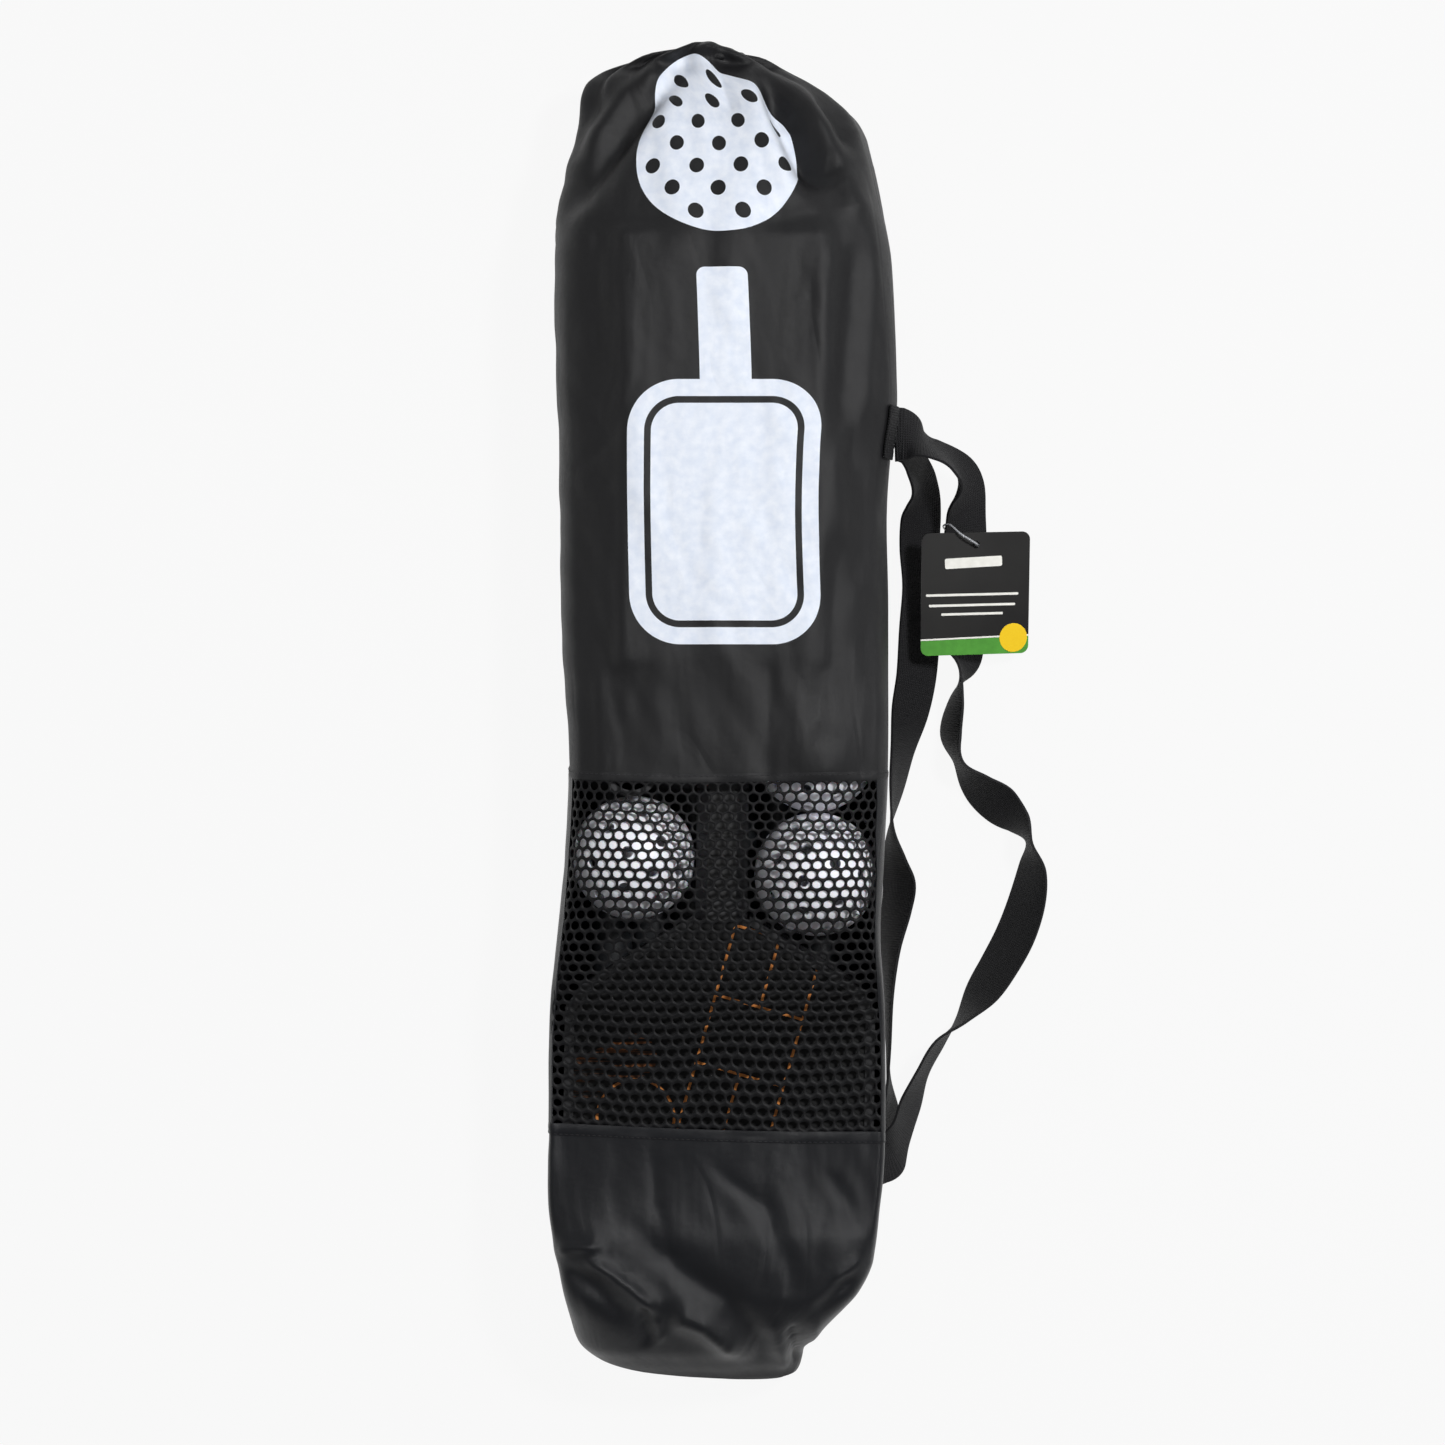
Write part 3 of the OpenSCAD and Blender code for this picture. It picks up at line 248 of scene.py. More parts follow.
def woven(tree, shader, thread, depth, tint, dark, light, rough, crumple):
    """Plain weave: threads over and under each other with a painted sheen that makes the raised
    threads lighter, uneven dye, and creases so many mm deep.
    """
    place = add_node(tree, "TexCoord").outputs["UV"]
    turns = 1 / (thread * MM) / 2
    fine = add_node(tree, "Mapping", {"Scale": (turns, turns, turns), "Vector": place})
    warp, weft = [
        add_node(tree, "TexWave", {"Scale": 1.0, "Distortion": 0.4, "Detail": 1.0, "Vector": fine},
                 bands_direction=across, wave_profile="SIN")
        for across in "XY"]
    threads = add_node(tree, "Math", {0: warp, 1: weft}, operation="MAXIMUM")
    dye = add_node(tree, "TexNoise",
                   {"Scale": 14.0, "Detail": 5.0, "Roughness": 0.6, "Vector": place})
    wear = add_node(tree, "TexNoise", {"Scale": 420.0, "Detail": 2.0, "Vector": place})
    tone = add_node(tree, "Math", {0: dye, 1: 0.5}, operation="MULTIPLY")
    # Raised threads are painted lighter by this share, a painted sheen; the dye noise adds uneven
    # tone.
    both = add_node(tree, "Math", {0: threads, 1: tint, 2: tone}, operation="MULTIPLY_ADD")
    shade = add_node(tree, "ValToRGB", {"Fac": both}, ramp=((0.2, 0.8), (dark, light)))
    gloss = add_node(tree, "MapRange", {"Value": wear, "To Min": rough[0], "To Max": rough[1]})
    # Soft creases run along the cloth, three times as long as they are wide.
    drawn = add_node(tree, "Mapping", {"Scale": (24, 8, 24), "Vector": place})
    creases = add_node(tree, "TexNoise",
                       {"Scale": 1.0, "Detail": 2.5, "Distortion": 0.6, "Vector": drawn})
    crushed = add_node(tree, "Bump", {"Strength": 1.0, "Distance": crumple * MM, "Height": creases})
    # Thin crease lines lie where a slow noise crosses its middle value, and fade in and out.
    slow = add_node(tree, "TexNoise",
                    {"Scale": 0.8, "Detail": 0.8, "Distortion": 0.1, "Vector": drawn})
    off = add_node(tree, "Math", {0: slow, 1: 0.5}, operation="SUBTRACT")
    near = add_node(tree, "Math", {0: off}, operation="ABSOLUTE")
    line = add_node(tree, "MapRange", {"Value": near, "From Max": 0.03})
    broken = add_node(tree, "MapRange", {"Value": dye, "From Min": 0.45, "From Max": 0.62})
    pinched = add_node(tree, "Math", {0: line, 1: broken}, operation="MULTIPLY")
    pinch = add_node(tree, "Bump", {"Strength": 1.0, "Distance": 0.07 * crumple * MM,
                                    "Height": pinched, "Normal": crushed})
    bump = add_node(tree, "Bump", {"Strength": 0.5, "Distance": depth * MM,
                                   "Height": threads, "Normal": pinch})
    feed(tree, shader, {"Base Color": shade, "Roughness": gloss, "Normal": bump})


# How each cloth looks: dark and light of its dye and of the painted sheen on its raised threads,
# roughness, depth of its creases in mm, gloss.
PLAIN_LOOK = ("#0c0c0e", "#1a1a1c", (0.44, 0.58), 3.5, 0.29)
COATED_LOOK = ("#0d0e11", "#1a1b1f", (0.33, 0.44), 3.0, 0.25)


def woven_polyester(name, dark, light, rough, crumple, gloss):
    """Plain-woven polyester, coated inside: dull black threads with a soft sheen where it turns."""
    material, tree, shader = new_material(
        name, Sheen_Weight=0.02, Sheen_Roughness=0.4, Specular_IOR_Level=gloss)
    # Real threads are 0.3 mm apart; they are drawn 0.9 mm apart so that they show.
    # The raised threads are painted lighter by 0.35 of the range from dark to light: a painted
    # sheen.
    woven(tree, shader, 0.9, 0.12, 0.35, dark, light, rough, crumple)
    return material, tree, shader


def woven_webbing():
    """Heavy plain-woven polyester webbing: thick ribs across it, a faint gloss, and a painted sheen
    that makes each rib lighter on top.
    """
    material, tree, shader = new_material(
        "woven_polyester_webbing", Sheen_Weight=0.01, Sheen_Roughness=0.4, Specular_IOR_Level=0.2)
    # Real ribs are 1.6 mm apart; they are drawn 2.4 mm apart so that they show.
    # Each rib's top is painted much lighter than its sides, 0.85 of the range from dark to light: a
    # painted sheen.
    woven(tree, shader, 2.4, 1.1, 0.85, "#020203", "#18181a", (0.55, 0.7), 0.3)
    return material


def knitted_mesh():
    """Warp-knitted polyester mesh: round dull yarns, uneven in tone."""
    material, tree, shader = new_material(
        "knitted_polyester_mesh", Sheen_Weight=0.01, Sheen_Roughness=0.4, Specular_IOR_Level=0.2,
        Roughness=0.55)
    place = add_node(tree, "TexCoord").outputs["Object"]
    yarn = add_node(tree, "TexNoise", {"Scale": 900.0, "Detail": 3.0, "Vector": place})
    shade = add_node(tree, "ValToRGB", {"Fac": yarn}, ramp=((0, 1), ("#050506", "#121215")))
    bump = add_node(tree, "Bump", {"Strength": 0.4, "Distance": 0.2 * MM, "Height": yarn})
    feed(tree, shader, {"Base Color": shade, "Normal": bump})
    return material


def grained(name, dark, light, rough, grain, depth, **inputs):
    """A moulded, coated or painted surface: a fine grain of this size in mm and an uneven tone."""
    material, tree, shader = new_material(name, **inputs)
    place = add_node(tree, "TexCoord").outputs["Object"]
    fine = add_node(tree, "TexNoise", {"Scale": 1 / (grain * MM), "Detail": 3.0, "Vector": place})
    broad = add_node(tree, "TexNoise", {"Scale": 25.0, "Detail": 4.0, "Vector": place})
    tone = add_node(tree, "Math", {0: broad, 1: 0.5}, operation="MULTIPLY")
    both = add_node(tree, "Math", {0: fine, 1: 0.5, 2: tone}, operation="MULTIPLY_ADD")
    shade = add_node(tree, "ValToRGB", {"Fac": both}, ramp=((0.3, 0.7), (dark, light)))
    gloss = add_node(tree, "MapRange", {"Value": broad, "To Min": rough[0], "To Max": rough[1]})
    bump = add_node(tree, "Bump", {"Strength": 0.35, "Distance": depth * MM, "Height": fine})
    feed(tree, shader, {"Base Color": shade, "Roughness": gloss, "Normal": bump})
    return material, tree, shader


def rounded_box(tree, place, at, half, corner, turn=0.0):
    """Distance in mm from a rounded rectangle, below zero inside it, for a place in metres."""
    about = add_node(tree, "Mapping", {
        "Location": (at[0] * MM, at[1] * MM, 0), "Rotation": (0, 0, math.radians(turn)),
        "Scale": (MM, MM, MM), "Vector": place}, vector_type="TEXTURE")
    folded = add_node(tree, "VectorMath", {0: about}, operation="ABSOLUTE")
    out = add_node(tree, "VectorMath", {0: folded, 1: (half[0] - corner, half[1] - corner, 1000)},
                   operation="SUBTRACT")
    kept = add_node(tree, "VectorMath", {0: out, 1: (0, 0, 0)}, operation="MAXIMUM")
    far = add_node(tree, "VectorMath", {0: kept}, operation="LENGTH").outputs["Value"]
    return add_node(tree, "Math", {0: far, 1: corner}, operation="SUBTRACT")


def filled_box(tree, *shape):
    """1 inside a rounded rectangle, and 0 elsewhere."""
    far = rounded_box(tree, *shape)
    return add_node(tree, "Math", {0: far, 1: 0.0}, operation="LESS_THAN")


def lined_box(tree, out, half_wide, *shape):
    """1 on a line round a rounded rectangle, so many mm out from its edge, and 0 elsewhere."""
    far = rounded_box(tree, *shape)
    return add_node(tree, "Math", {0: far, 1: out, 2: half_wide}, operation="COMPARE")


def any_of(tree, marks):
    """1 where any of these marks is 1."""
    mask = marks[0]
    for mark in marks[1:]:
        mask = add_node(tree, "Math", {0: mask, 1: mark}, operation="MAXIMUM")
    return mask


def printed_over(tree, shader, place, pale, dull, mask, rough=0.5):
    """Lays an ink, a little uneven in tone, over the surface's own colour where the mask is 1."""
    own_tone, own_rough = [shader.inputs[key].links[0].from_socket
                           for key in ("Base Color", "Roughness")]
    mottle = add_node(tree, "TexNoise", {"Scale": 160.0, "Detail": 3.0, "Vector": place})
    ink = add_node(tree, "ValToRGB", {"Fac": mottle}, ramp=((0.3, 0.7), (dull, pale)))
    tone = add_node(tree, "Mix", {"Factor": mask, 6: own_tone, 7: ink}, data_type="RGBA")
    gloss = add_node(tree, "Mix", {"Factor": mask, 2: own_rough, 3: rough})
    feed(tree, shader, {"Base Color": tone.outputs[2], "Roughness": gloss})


# ---- Shape of the filled bag ----

# Rows along the bag, in mm: place, side shift, half width, underside, top,
# squareness of the section, depth of the pleats.
STATIONS = np.array([
    [FOOT_Y - 2, 19, 23, 2, 18, 2.2, 0],
    [FOOT_Y + 3, 11, 38, 0, 38, 2.5, 0],
    [FOOT_Y + 9, -1, 52, 0, 56, 2.8, 0],
    [FOOT_Y + 18, -9, 62, 0, 76, 3.2, 0],
    [FOOT_Y + 30, -14, 70, 0, 90, 3.8, 0],
    [FOOT_Y + 48, -9, 80, 0, 101, 5, 0],
    [FOOT_Y + 66, -3, 89, 0, PADDLE_TOP, 8, 0],
    [FOOT_Y + 85, -0.5, 95, 0, PADDLE_TOP, 10, 0],
    [FOOT_Y + 122, -1, 99.5, 0, PADDLE_TOP, 12, 0],
    [FOOT_Y + 158, 0.2, 100.6, 0, PADDLE_TOP, 13, 0],
    [SHOULDER_Y - 60, 0.5, 100.2, 0, PADDLE_TOP, 13, 0],
    [SHOULDER_Y - 14, 1.5, 97, 0, BALL_TOP - 3, 6, 0],
    [SHOULDER_Y + 30, 5, 96, 0, BALL_TOP, 4.4, 0],
    [SHOULDER_Y + 96, 7.5, 96.5, 0, BALL_TOP, 4.2, 0],
    [BUTT_Y + 34, 6, 98.6, 0, NET_TOP + 2, 3.6, 0],
    [BUTT_Y + 100, 4.6, 99.2, 0, NET_TOP, 3.4, 0],
    [BUTT_Y + 140, 5.2, 101, 0, NET_TOP, 3.4, 0],
    [BUTT_Y + 172, 6.6, 103.8, 0, NET_TOP, 3.4, 0],
    [MOUTH_Y - 160, 5.4, 103.6, 0, NET_TOP, 3.2, 0],
    [MOUTH_Y - 124, 3.8, 103, 0, NET_TOP - 1, 3.1, 0],
    [MOUTH_Y - 100, 1, 101.2, 0, NET_TOP - 5, 3, 0.002],
    [MOUTH_Y - 70, 2, 95, 0, NET_TOP - 14, 2.8, 0.006],
    [MOUTH_Y - 50, 2.2, 89.5, 3, NET_TOP - 21, 2.6, 0.012],
    [MOUTH_Y - 38, 0.6, 84, 7, NET_TOP - 27, 2.5, 0.02],
    [MOUTH_Y - 26, -5.2, 76, 12, NET_TOP - 33, 2.4, 0.035],
    [MOUTH_Y - 18, -9.6, 67, 17, NET_TOP - 38, 2.3, 0.05],
    [MOUTH_Y - 11, -12, 55, 23, NET_TOP - 44, 2.15, 0.07],
    [MOUTH_Y - 6, -10, 41, 28, MOUTH_AT[1] + 28, 2.05, 0.08],
    [MOUTH_Y - 3, MOUTH_AT[0] - 2, 25, MOUTH_AT[1] - 24.5, MOUTH_AT[1] + 24.5, 2, 0.05],
])
# Pleats round the drawn mouth, and how unevenly they are spaced.
PLEATS, PLEAT_WOBBLE = 13, (0.35, 1.9)


def stations(y):
    """The values of the rows at each y, on a smooth curve kept between its neighbours."""
    i = np.clip(np.searchsorted(STATIONS[:, 0], y) - 1, 0, len(STATIONS) - 2)
    b, c = STATIONS[i], STATIONS[i + 1]
    a, d = STATIONS[np.maximum(i - 1, 0)], STATIONS[np.minimum(i + 2, len(STATIONS) - 1)]
    t = np.clip((y - b[:, 0]) / (c[:, 0] - b[:, 0]), 0, 1)[:, None]
    v = np.clip(bend(a, b, c, d, t), np.minimum(b, c), np.maximum(b, c))
    v[:, 0] = y
    return v


def section(s, turn):
    """Points of each row's section at angles in radians, as x and z."""
    mid = mix(s[:, 3], s[:, 4], WIDEST_SHARE)[:, None]
    above = turn[None, :] <= math.pi
    n = np.where(above, s[:, 5:6], np.minimum(9, s[:, 5:6] * 2.4))
    reach = np.where(above, s[:, 4:5] - mid, mid - s[:, 3:4])
    cos, sin = np.cos(turn)[None, :], np.sin(turn)[None, :]
    x = s[:, 2:3] * np.sign(cos) * np.abs(cos) ** (2 / n)
    z = reach * np.sign(sin) * np.abs(sin) ** (2 / n)
    gathers = np.cos(PLEATS * turn + PLEAT_WOBBLE[0] * np.sin(2 * turn + PLEAT_WOBBLE[1]))
    swell = 1 + s[:, 6:7] * gathers[None, :]
    return s[:, 1:2] + x * swell, mid + z * swell


def loft(y, share):
    """The undisturbed cloth at every row y and every share of the girth, with each row's girth."""
    s = stations(np.asarray(y, float))
    turn = np.linspace(0, 2 * math.pi, 361)
    xs, zs = section(s, turn)
    step = np.hypot(np.diff(xs, axis=1), np.diff(zs, axis=1))
    run = np.concatenate([np.zeros((len(s), 1)), np.cumsum(step, axis=1)], axis=1)
    points = np.zeros((len(s), len(share), 3))
    for row in range(len(s)):
        at = np.mod(share, 1.0) * run[row, -1]
        points[row, :, 0] = np.interp(at, run[row], xs[row])
        points[row, :, 1] = s[row, 0]
        points[row, :, 2] = np.interp(at, run[row], zs[row])
    return points, run[:, -1]


# Folds and creases as they lie seen from above: places along each, depth in mm (a ridge is above
# zero) and half width in mm at its start and at its end.
FOLDS = [
    ([(-24, 392), (-45, 368), (-68, 339), (-95, 300)], -10, 7, 11),
    ([(-34, 396), (-58, 374), (-80, 346), (-96, 318)], 3, 7, 9),
    ([(-62, 385), (-84, 350), (-98, 318)], -3, 8, 8),
    ([(28, 386), (38, 360), (49, 338), (58, 322)], -9, 5.6, 7),
    ([(34, 384), (46, 357), (59, 332), (68, 318)], -9, 7, 13),
    ([(44, 388), (64, 352), (80, 318), (86, 296)], 5, 8, 9),
    ([(18, 394), (28, 364), (38, 334), (48, 306)], 4, 8, 10),
    ([(2, 398), (4, 382), (10, 364)], -3, 5, 5),
    ([(57, 376), (68, 362), (80, 345)], -3.5, 3, 4.5),
    ([(-78, 240), (-80, 190), (-76, 120)], 2, 8, 8),
    ([(-70, 300), (-72, 250), (-68, 215)], -1.6, 4, 5),
    ([(-58, 300), (-50, 262), (-34, 232)], -1.6, 3, 4),
    ([(-84, 300), (-62, 282), (-45, 258)], -1.4, 3, 4),
    ([(-90, 160), (-66, 140), (-40, 146)], -1.2, 3, 4),
    ([(-44, 205), (-60, 170), (-84, 150)], -1.4, 3, 5),
    ([(84, 290), (80, 240), (76, 190), (84, 130)], -3.2, 7, 8),
    ([(94, 290), (92, 230), (88, 170)], 2.2, 6, 6),
    ([(70, 300), (66, 250), (68, 205)], 1.6, 4, 6),
    ([(80, 180), (70, 150), (72, 100)], 2.0, 4, 7),
    ([(74, 120), (66, 60), (60, 10), (62, -28)], -2.0, 6, 7),
    ([(33, 40), (31, 0), (29, -30)], -1.6, 4, 5),
    ([(-30, 60), (-34, 10), (-36, -26)], 1.4, 9, 9),
    ([(-56, 70), (-60, 20), (-52, -24)], -1.4, 4, 5),
    ([(88, 90), (80, 60), (84, 20)], 1.6, 7, 7),
    ([(-93, -314), (-84, -311), (-68, -311)], 5.5, 4, 5.4),
    ([(-78, -317), (-56, -331), (-33, -350)], 7.5, 5.4, 5.4),
    ([(-62, -330), (-50, -326)], -1.6, 2, 2),
    ([(-92, -324), (-72, -334), (-52, -354)], -4, 5, 7),
    ([(-26, -349), (-8, -357), (16, -377)], 8, 9, 7),
    ([(-10, -352), (6, -366)], 2.5, 3, 3),
    ([(-44, -346), (-43, -360), (-38, -374)], -5, 4, 5.4),
    ([(-36, -352), (-32, -366), (-42, -374)], 3, 3, 3),
    ([(-50, -300), (-20, -326), (8, -344), (26, -372), (28, -388)], -3.5, 8, 7),
    ([(-34, -282), (-30, -306), (-24, -324)], -1.4, 4, 5),
    ([(-38, -250), (-36, -275), (-34, -300)], -1.4, 3, 3),
    ([(0, -262), (30, -290), (44, -320), (50, -350)], -1.6, 4, 8),
    ([(28, -272), (33, -300), (36, -326)], -1.2, 3, 3.5),
    ([(66, -262), (78, -285), (84, -306)], -1.2, 5, 6),
    ([(44, -358), (48, -376), (50, -394)], -5.5, 3.5, 3.5),
    ([(34, -354), (38, -374), (42, -394)], 3, 4, 5),
    ([(60, -350), (58, -372), (56, -390)], 3.5, 4, 5),
    ([(82, -328), (72, -340), (58, -352)], -3.5, 4, 6),
    ([(86, -318), (78, -326), (70, -330)], 3, 3, 4),
]
# A fold that ends with a half width below this is a sharp crease.
CREASE_BELOW = 5.5


def near_line(x, y, line):
    """Distance of each point from a run of straight stretches, and the share along it."""
    line = np.array(line, float)
    best = np.full(x.shape, 1e9)
    share = np.zeros(x.shape)
    parts = len(line) - 1
    for k in range(parts):
        a, b = line[k], line[k + 1]
        d = b - a
        t = np.clip(((x - a[0]) * d[0] + (y - a[1]) * d[1]) / (d @ d), 0, 1)
        gap = np.hypot(x - a[0] - t * d[0], y - a[1] - t * d[1])
        share = np.where(gap < best, (k + t) / parts, share)
        best = np.minimum(best, gap)
    return best, share


def ripple(x, y, wide, tall, seed):
    """Smooth uneven waves of the given width and length, from -1 to 1."""
    flat = [noise.noise(Vector((a / wide, b / tall, seed))) for a, b in zip(x.ravel(), y.ravel())]
    return np.array(flat).reshape(x.shape)


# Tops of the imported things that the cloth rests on, as (middle x, middle y, half width,
# half length, height); the balls are round.
FLAT_TOPS = [
    (0, -237, 84, 112, 97.5),
    (3, -50, 15, 74, 104.5),
    (-50, -10, 16, 33, 113),
    (4, 164, 56, 126, 119),
]
BALLS = [(-49.4, -81), (60, -91), (59.5, -16.7)]
BALL_R, BALL_Z = 37, 86.46
# How far down the cloth hangs between what holds it up, and how often it is settled.
SAG_PULL, SAG_ROUNDS = 0.014, 500
# How far it stays above what it rests on, in mm, as it settles and when it is folded.
SETTLED_CLEAR, FOLDED_CLEAR = 1.6, 1.3
# It rests between these two places, past the blade and the net roll, and lets go over so many mm.
RESTS_Y, LETS_GO = (FOOT_Y + 66, MOUTH_Y - 104), (40, 24)
# Small ripples keep this share of their height over the window, and these on the lower panel,
# past its line at this x and before it.
MESH_CALM, LOWER_CALM, LOWER_CALM_X = 0.25, (0.3, 0.45), 20
# Folds fade out over this share of the girth and so many mm towards the edges of a panel.
SIDE_FADE, END_FADE = 0.03, 8
# Lobes of the drawn cloth past its hem: place across, half width and reach in mm.
LOBES = [(-40, 11, 2.5), (-8, 17, 5.5), (30, 11, 2)]


def tops(x, y):
    """Height of what lies under the cloth."""
    height = np.zeros(x.shape)
    for mid_x, mid_y, half_x, half_y, top in FLAT_TOPS:
        over = np.hypot(np.maximum(np.abs(x - mid_x) - half_x, 0),
                        np.maximum(np.abs(y - mid_y) - half_y, 0))
        height = np.maximum(height, np.where(over < 12, top - over ** 2 / 14, 0))
    for mid_x, mid_y in BALLS:
        away = np.hypot(x - mid_x, y - mid_y)
        ball = BALL_Z + np.sqrt(np.maximum(BALL_R ** 2 - away ** 2, 0))
        height = np.maximum(height, np.where(away < BALL_R, ball, 0))
    return height


# How far the window's edges wander along the bag, in mm, at shares across the front.
ACROSS = [0.055, 0.18, 0.305, 0.43, 0.555]
UPPER_EDGE = [-3, -4, -5, -3, 3]
LOWER_EDGE = [-8, -8, -6, -3, 0]
EDGE_REACH = 60


def wander(y, share):
    """The shift along the bag of each place on the front."""
    shift = 0
    for edge, shifts in zip(WINDOW_Y, (LOWER_EDGE, UPPER_EDGE)):
        near = np.clip(1 - np.abs(y - edge) / EDGE_REACH, 0, 1)
        shift = shift + near ** 2 * (3 - 2 * near) * np.interp(share, ACROSS, shifts)
    return shift


# The cloth's rows along the bag, and its columns round the front and round the back.
ROWS = np.concatenate([
    np.linspace(FOOT_Y - 2, WINDOW_Y[0], 59),
    np.linspace(WINDOW_Y[0], WINDOW_Y[1], 56)[1:],
    np.linspace(WINDOW_Y[1], MOUTH_Y - 110, 76)[1:],
    np.linspace(MOUTH_Y - 110, MOUTH_Y - 3, 44)[1:],
])
FRONT = np.linspace(SEAM_ROLL, 0.5 + SEAM_ROLL, 97)
BACK = np.linspace(0.5 + SEAM_ROLL, 1 + SEAM_ROLL, 53)
# The cloth's length round the bag, in mm.
GIRTH = float(loft([SHOULDER_Y, BUTT_Y + 100], FRONT)[1].mean())


def outwards(points):
    """Unit normals of a grid of points, away from the bag's inside."""
    return unit(np.cross(np.gradient(points, axis=0), np.gradient(points, axis=1)))


def inward(y, share):
    """0 on the edges of a panel, and 1 a little way in from them, at its rows y and its shares."""
    sides = np.clip(np.minimum(share - share[0, 0], share[0, -1] - share) / SIDE_FADE, 0, 1)
    ends = np.clip(np.minimum(y - ROWS[0], ROWS[-1] - y) / END_FADE, 0, 1)
    return sides * ends


def folded(x, y):
    """Height of the folds and creases at each place, in mm."""
    lift = np.zeros(y.shape)
    for line, depth, first, last in FOLDS:
        gap, way = near_line(x, y, line)
        width = mix(first, last, way)
        fade = np.clip(np.minimum(way, 1 - way) * 5 + 0.2, 0, 1)
        # A crease is sharper than a fold, so its sides are straight.
        crease = last <= CREASE_BELOW
        lift += depth * np.exp(-gap / width * 1.4 if crease else -(gap / width) ** 2) * fade
    return lift


def drape_front():
    """The front of the bag: settled over what it holds, then folded and creased."""
    points, _ = loft(ROWS, FRONT)
    y, share = np.meshgrid(ROWS, FRONT, indexing="ij")
    # Only cloth that faces up is free to settle.
    free = np.clip((outwards(points)[:, :, 2] - 0.35) / 0.3, 0, 1)
    # Past what it rests on the cloth stands up by itself, drawn in to each end.
    free *= np.clip((y - RESTS_Y[0]) / LETS_GO[0], 0, 1)
    free *= np.clip((RESTS_Y[1] - y) / LETS_GO[1], 0, 1)
    free[:3] = 0
    free[:, :4] = 0
    free[:, -4:] = 0
    x, z = points[:, :, 0], points[:, :, 2].copy()
    floor = tops(x, y) + SETTLED_CLEAR
    start = z.copy()
    for _ in range(SAG_ROUNDS):
        mean = (np.roll(z, 1, 0) + np.roll(z, -1, 0) + np.roll(z, 1, 1) + np.roll(z, -1, 1)) / 4
        z = mix(start, np.maximum(mean - SAG_PULL, floor), free)
    points[:, :, 2] = z
    normal = outwards(points)
    calm = np.where((y > WINDOW_Y[1] + 4) | (y < WINDOW_Y[0] - 4), 1.0, MESH_CALM)
    calm = calm * np.where(y < WINDOW_Y[0], np.where(x > LOWER_CALM_X, *LOWER_CALM), 1.0)
    # Broad ripples and narrow ones run along the bag, and small ones run askew.
    ripples = (2.6 * ripple(x, y, 30, 150, 3.1) + 1.3 * ripple(x, y, 15, 70, 8.4)
               + 0.9 * ripple(x + y * 0.6, y - x * 0.4, 12, 34, 5.7))
    points += normal * ((folded(x, y) + calm * ripples) * inward(y, share))[:, :, None]
    rests = tops(points[:, :, 0], points[:, :, 1]) + FOLDED_CLEAR
    points[:, :, 2] = np.where(free > 0.5, np.maximum(points[:, :, 2], rests), points[:, :, 2])
    # Near the mouth, above its middle, the drawn cloth puffs out in lobes past its hem.
    puff = sum(reach * np.exp(-((x - at) / wide) ** 2) for at, wide, reach in LOBES)
    puff *= np.clip((y - MOUTH_Y + 24) / 18, 0, 1)
    points[:, :, 1] += puff * np.clip((points[:, :, 2] - MOUTH_AT[1]) / 18, 0, 1)
    points[:, :, 1] += wander(y, share)
    return points


def drape_back():
    """The back of the bag, flat where it lies, with long soft folds up its sides."""
    points, _ = loft(ROWS, BACK)
    y, share = np.meshgrid(ROWS, BACK, indexing="ij")
    x, z = points[:, :, 0], points[:, :, 2]
    lift = 1.1 * ripple(x + z, y, 24, 120, 12.2) + 0.6 * ripple(z * 1.3, y, 12, 50, 4.9)
    above = np.clip(z / 12, 0, 1)
    points += outwards(points) * (lift * inward(y, share) * above)[:, :, None]
    points[:, :, 2] = np.maximum(points[:, :, 2], 0.1)
    return points


front_points = drape_front()
back_points = drape_back()
front_normals = outwards(front_points)
back_normals = outwards(back_points)


def on_cloth(y, share, lift=0.0):
    """Places on the draped bag at rows y and shares of the girth, lifted off it by so many mm."""
    y, share = np.broadcast_arrays(np.asarray(y, float), np.asarray(share, float))
    share = np.where(share < SEAM_ROLL, share + 1, share)
    lift = np.broadcast_to(lift, y.shape)[..., None]
    sides = []
    for shares, *sources in ((FRONT, front_points, front_normals),
                             (BACK, back_points, back_normals)):
        i = np.interp(y, ROWS, np.arange(len(ROWS)))
        j = np.interp(share, shares, np.arange(len(shares)))
        i0 = np.minimum(i.astype(int), len(ROWS) - 2)
        j0 = np.minimum(j.astype(int), len(shares) - 2)
        u, v = (i - i0)[..., None], (j - j0)[..., None]
        place, normal = [
            mix(mix(source[i0, j0], source[i0, j0 + 1], v),
                mix(source[i0 + 1, j0], source[i0 + 1, j0 + 1], v), u)
            for source in sources]
        sides.append(place + normal * lift)
    return np.where((share <= 0.5 + SEAM_ROLL)[..., None], *sides)


def laid_flat(y, share):
    """Flat places of the cloth: across from the middle of the front, and along the bag."""
    return np.stack([-(share - 0.25 - SEAM_ROLL) * GIRTH, y], axis=-1)


def row_at(y):
    """The row of the cloth that lies nearest to y."""
    return int(np.argmin(np.abs(ROWS - y)))


def panel(name, points, share, y0, y1, material, *nodes):
    """One sewn panel of the bag, between two places along it."""
    a, b = row_at(y0), row_at(y1) + 1
    y, s = np.meshgrid(ROWS[a:b], share, indexing="ij")
    places, laid = points[a:b, ::-1], laid_flat(y, s)[:, ::-1]
    sheet = cloth_grid(name, places, laid)
    smooth(thicken(subdivide(sheet), CLOTH_T))
    return settle(sheet, material, "bag_cloth", "root", *nodes)


# ---- The bag's cloth ----

cloth, *_ = woven_polyester("woven_polyester_cloth", *PLAIN_LOOK)
coated, coated_tree, coated_shader = woven_polyester("coated_polyester_cloth", *COATED_LOOK)


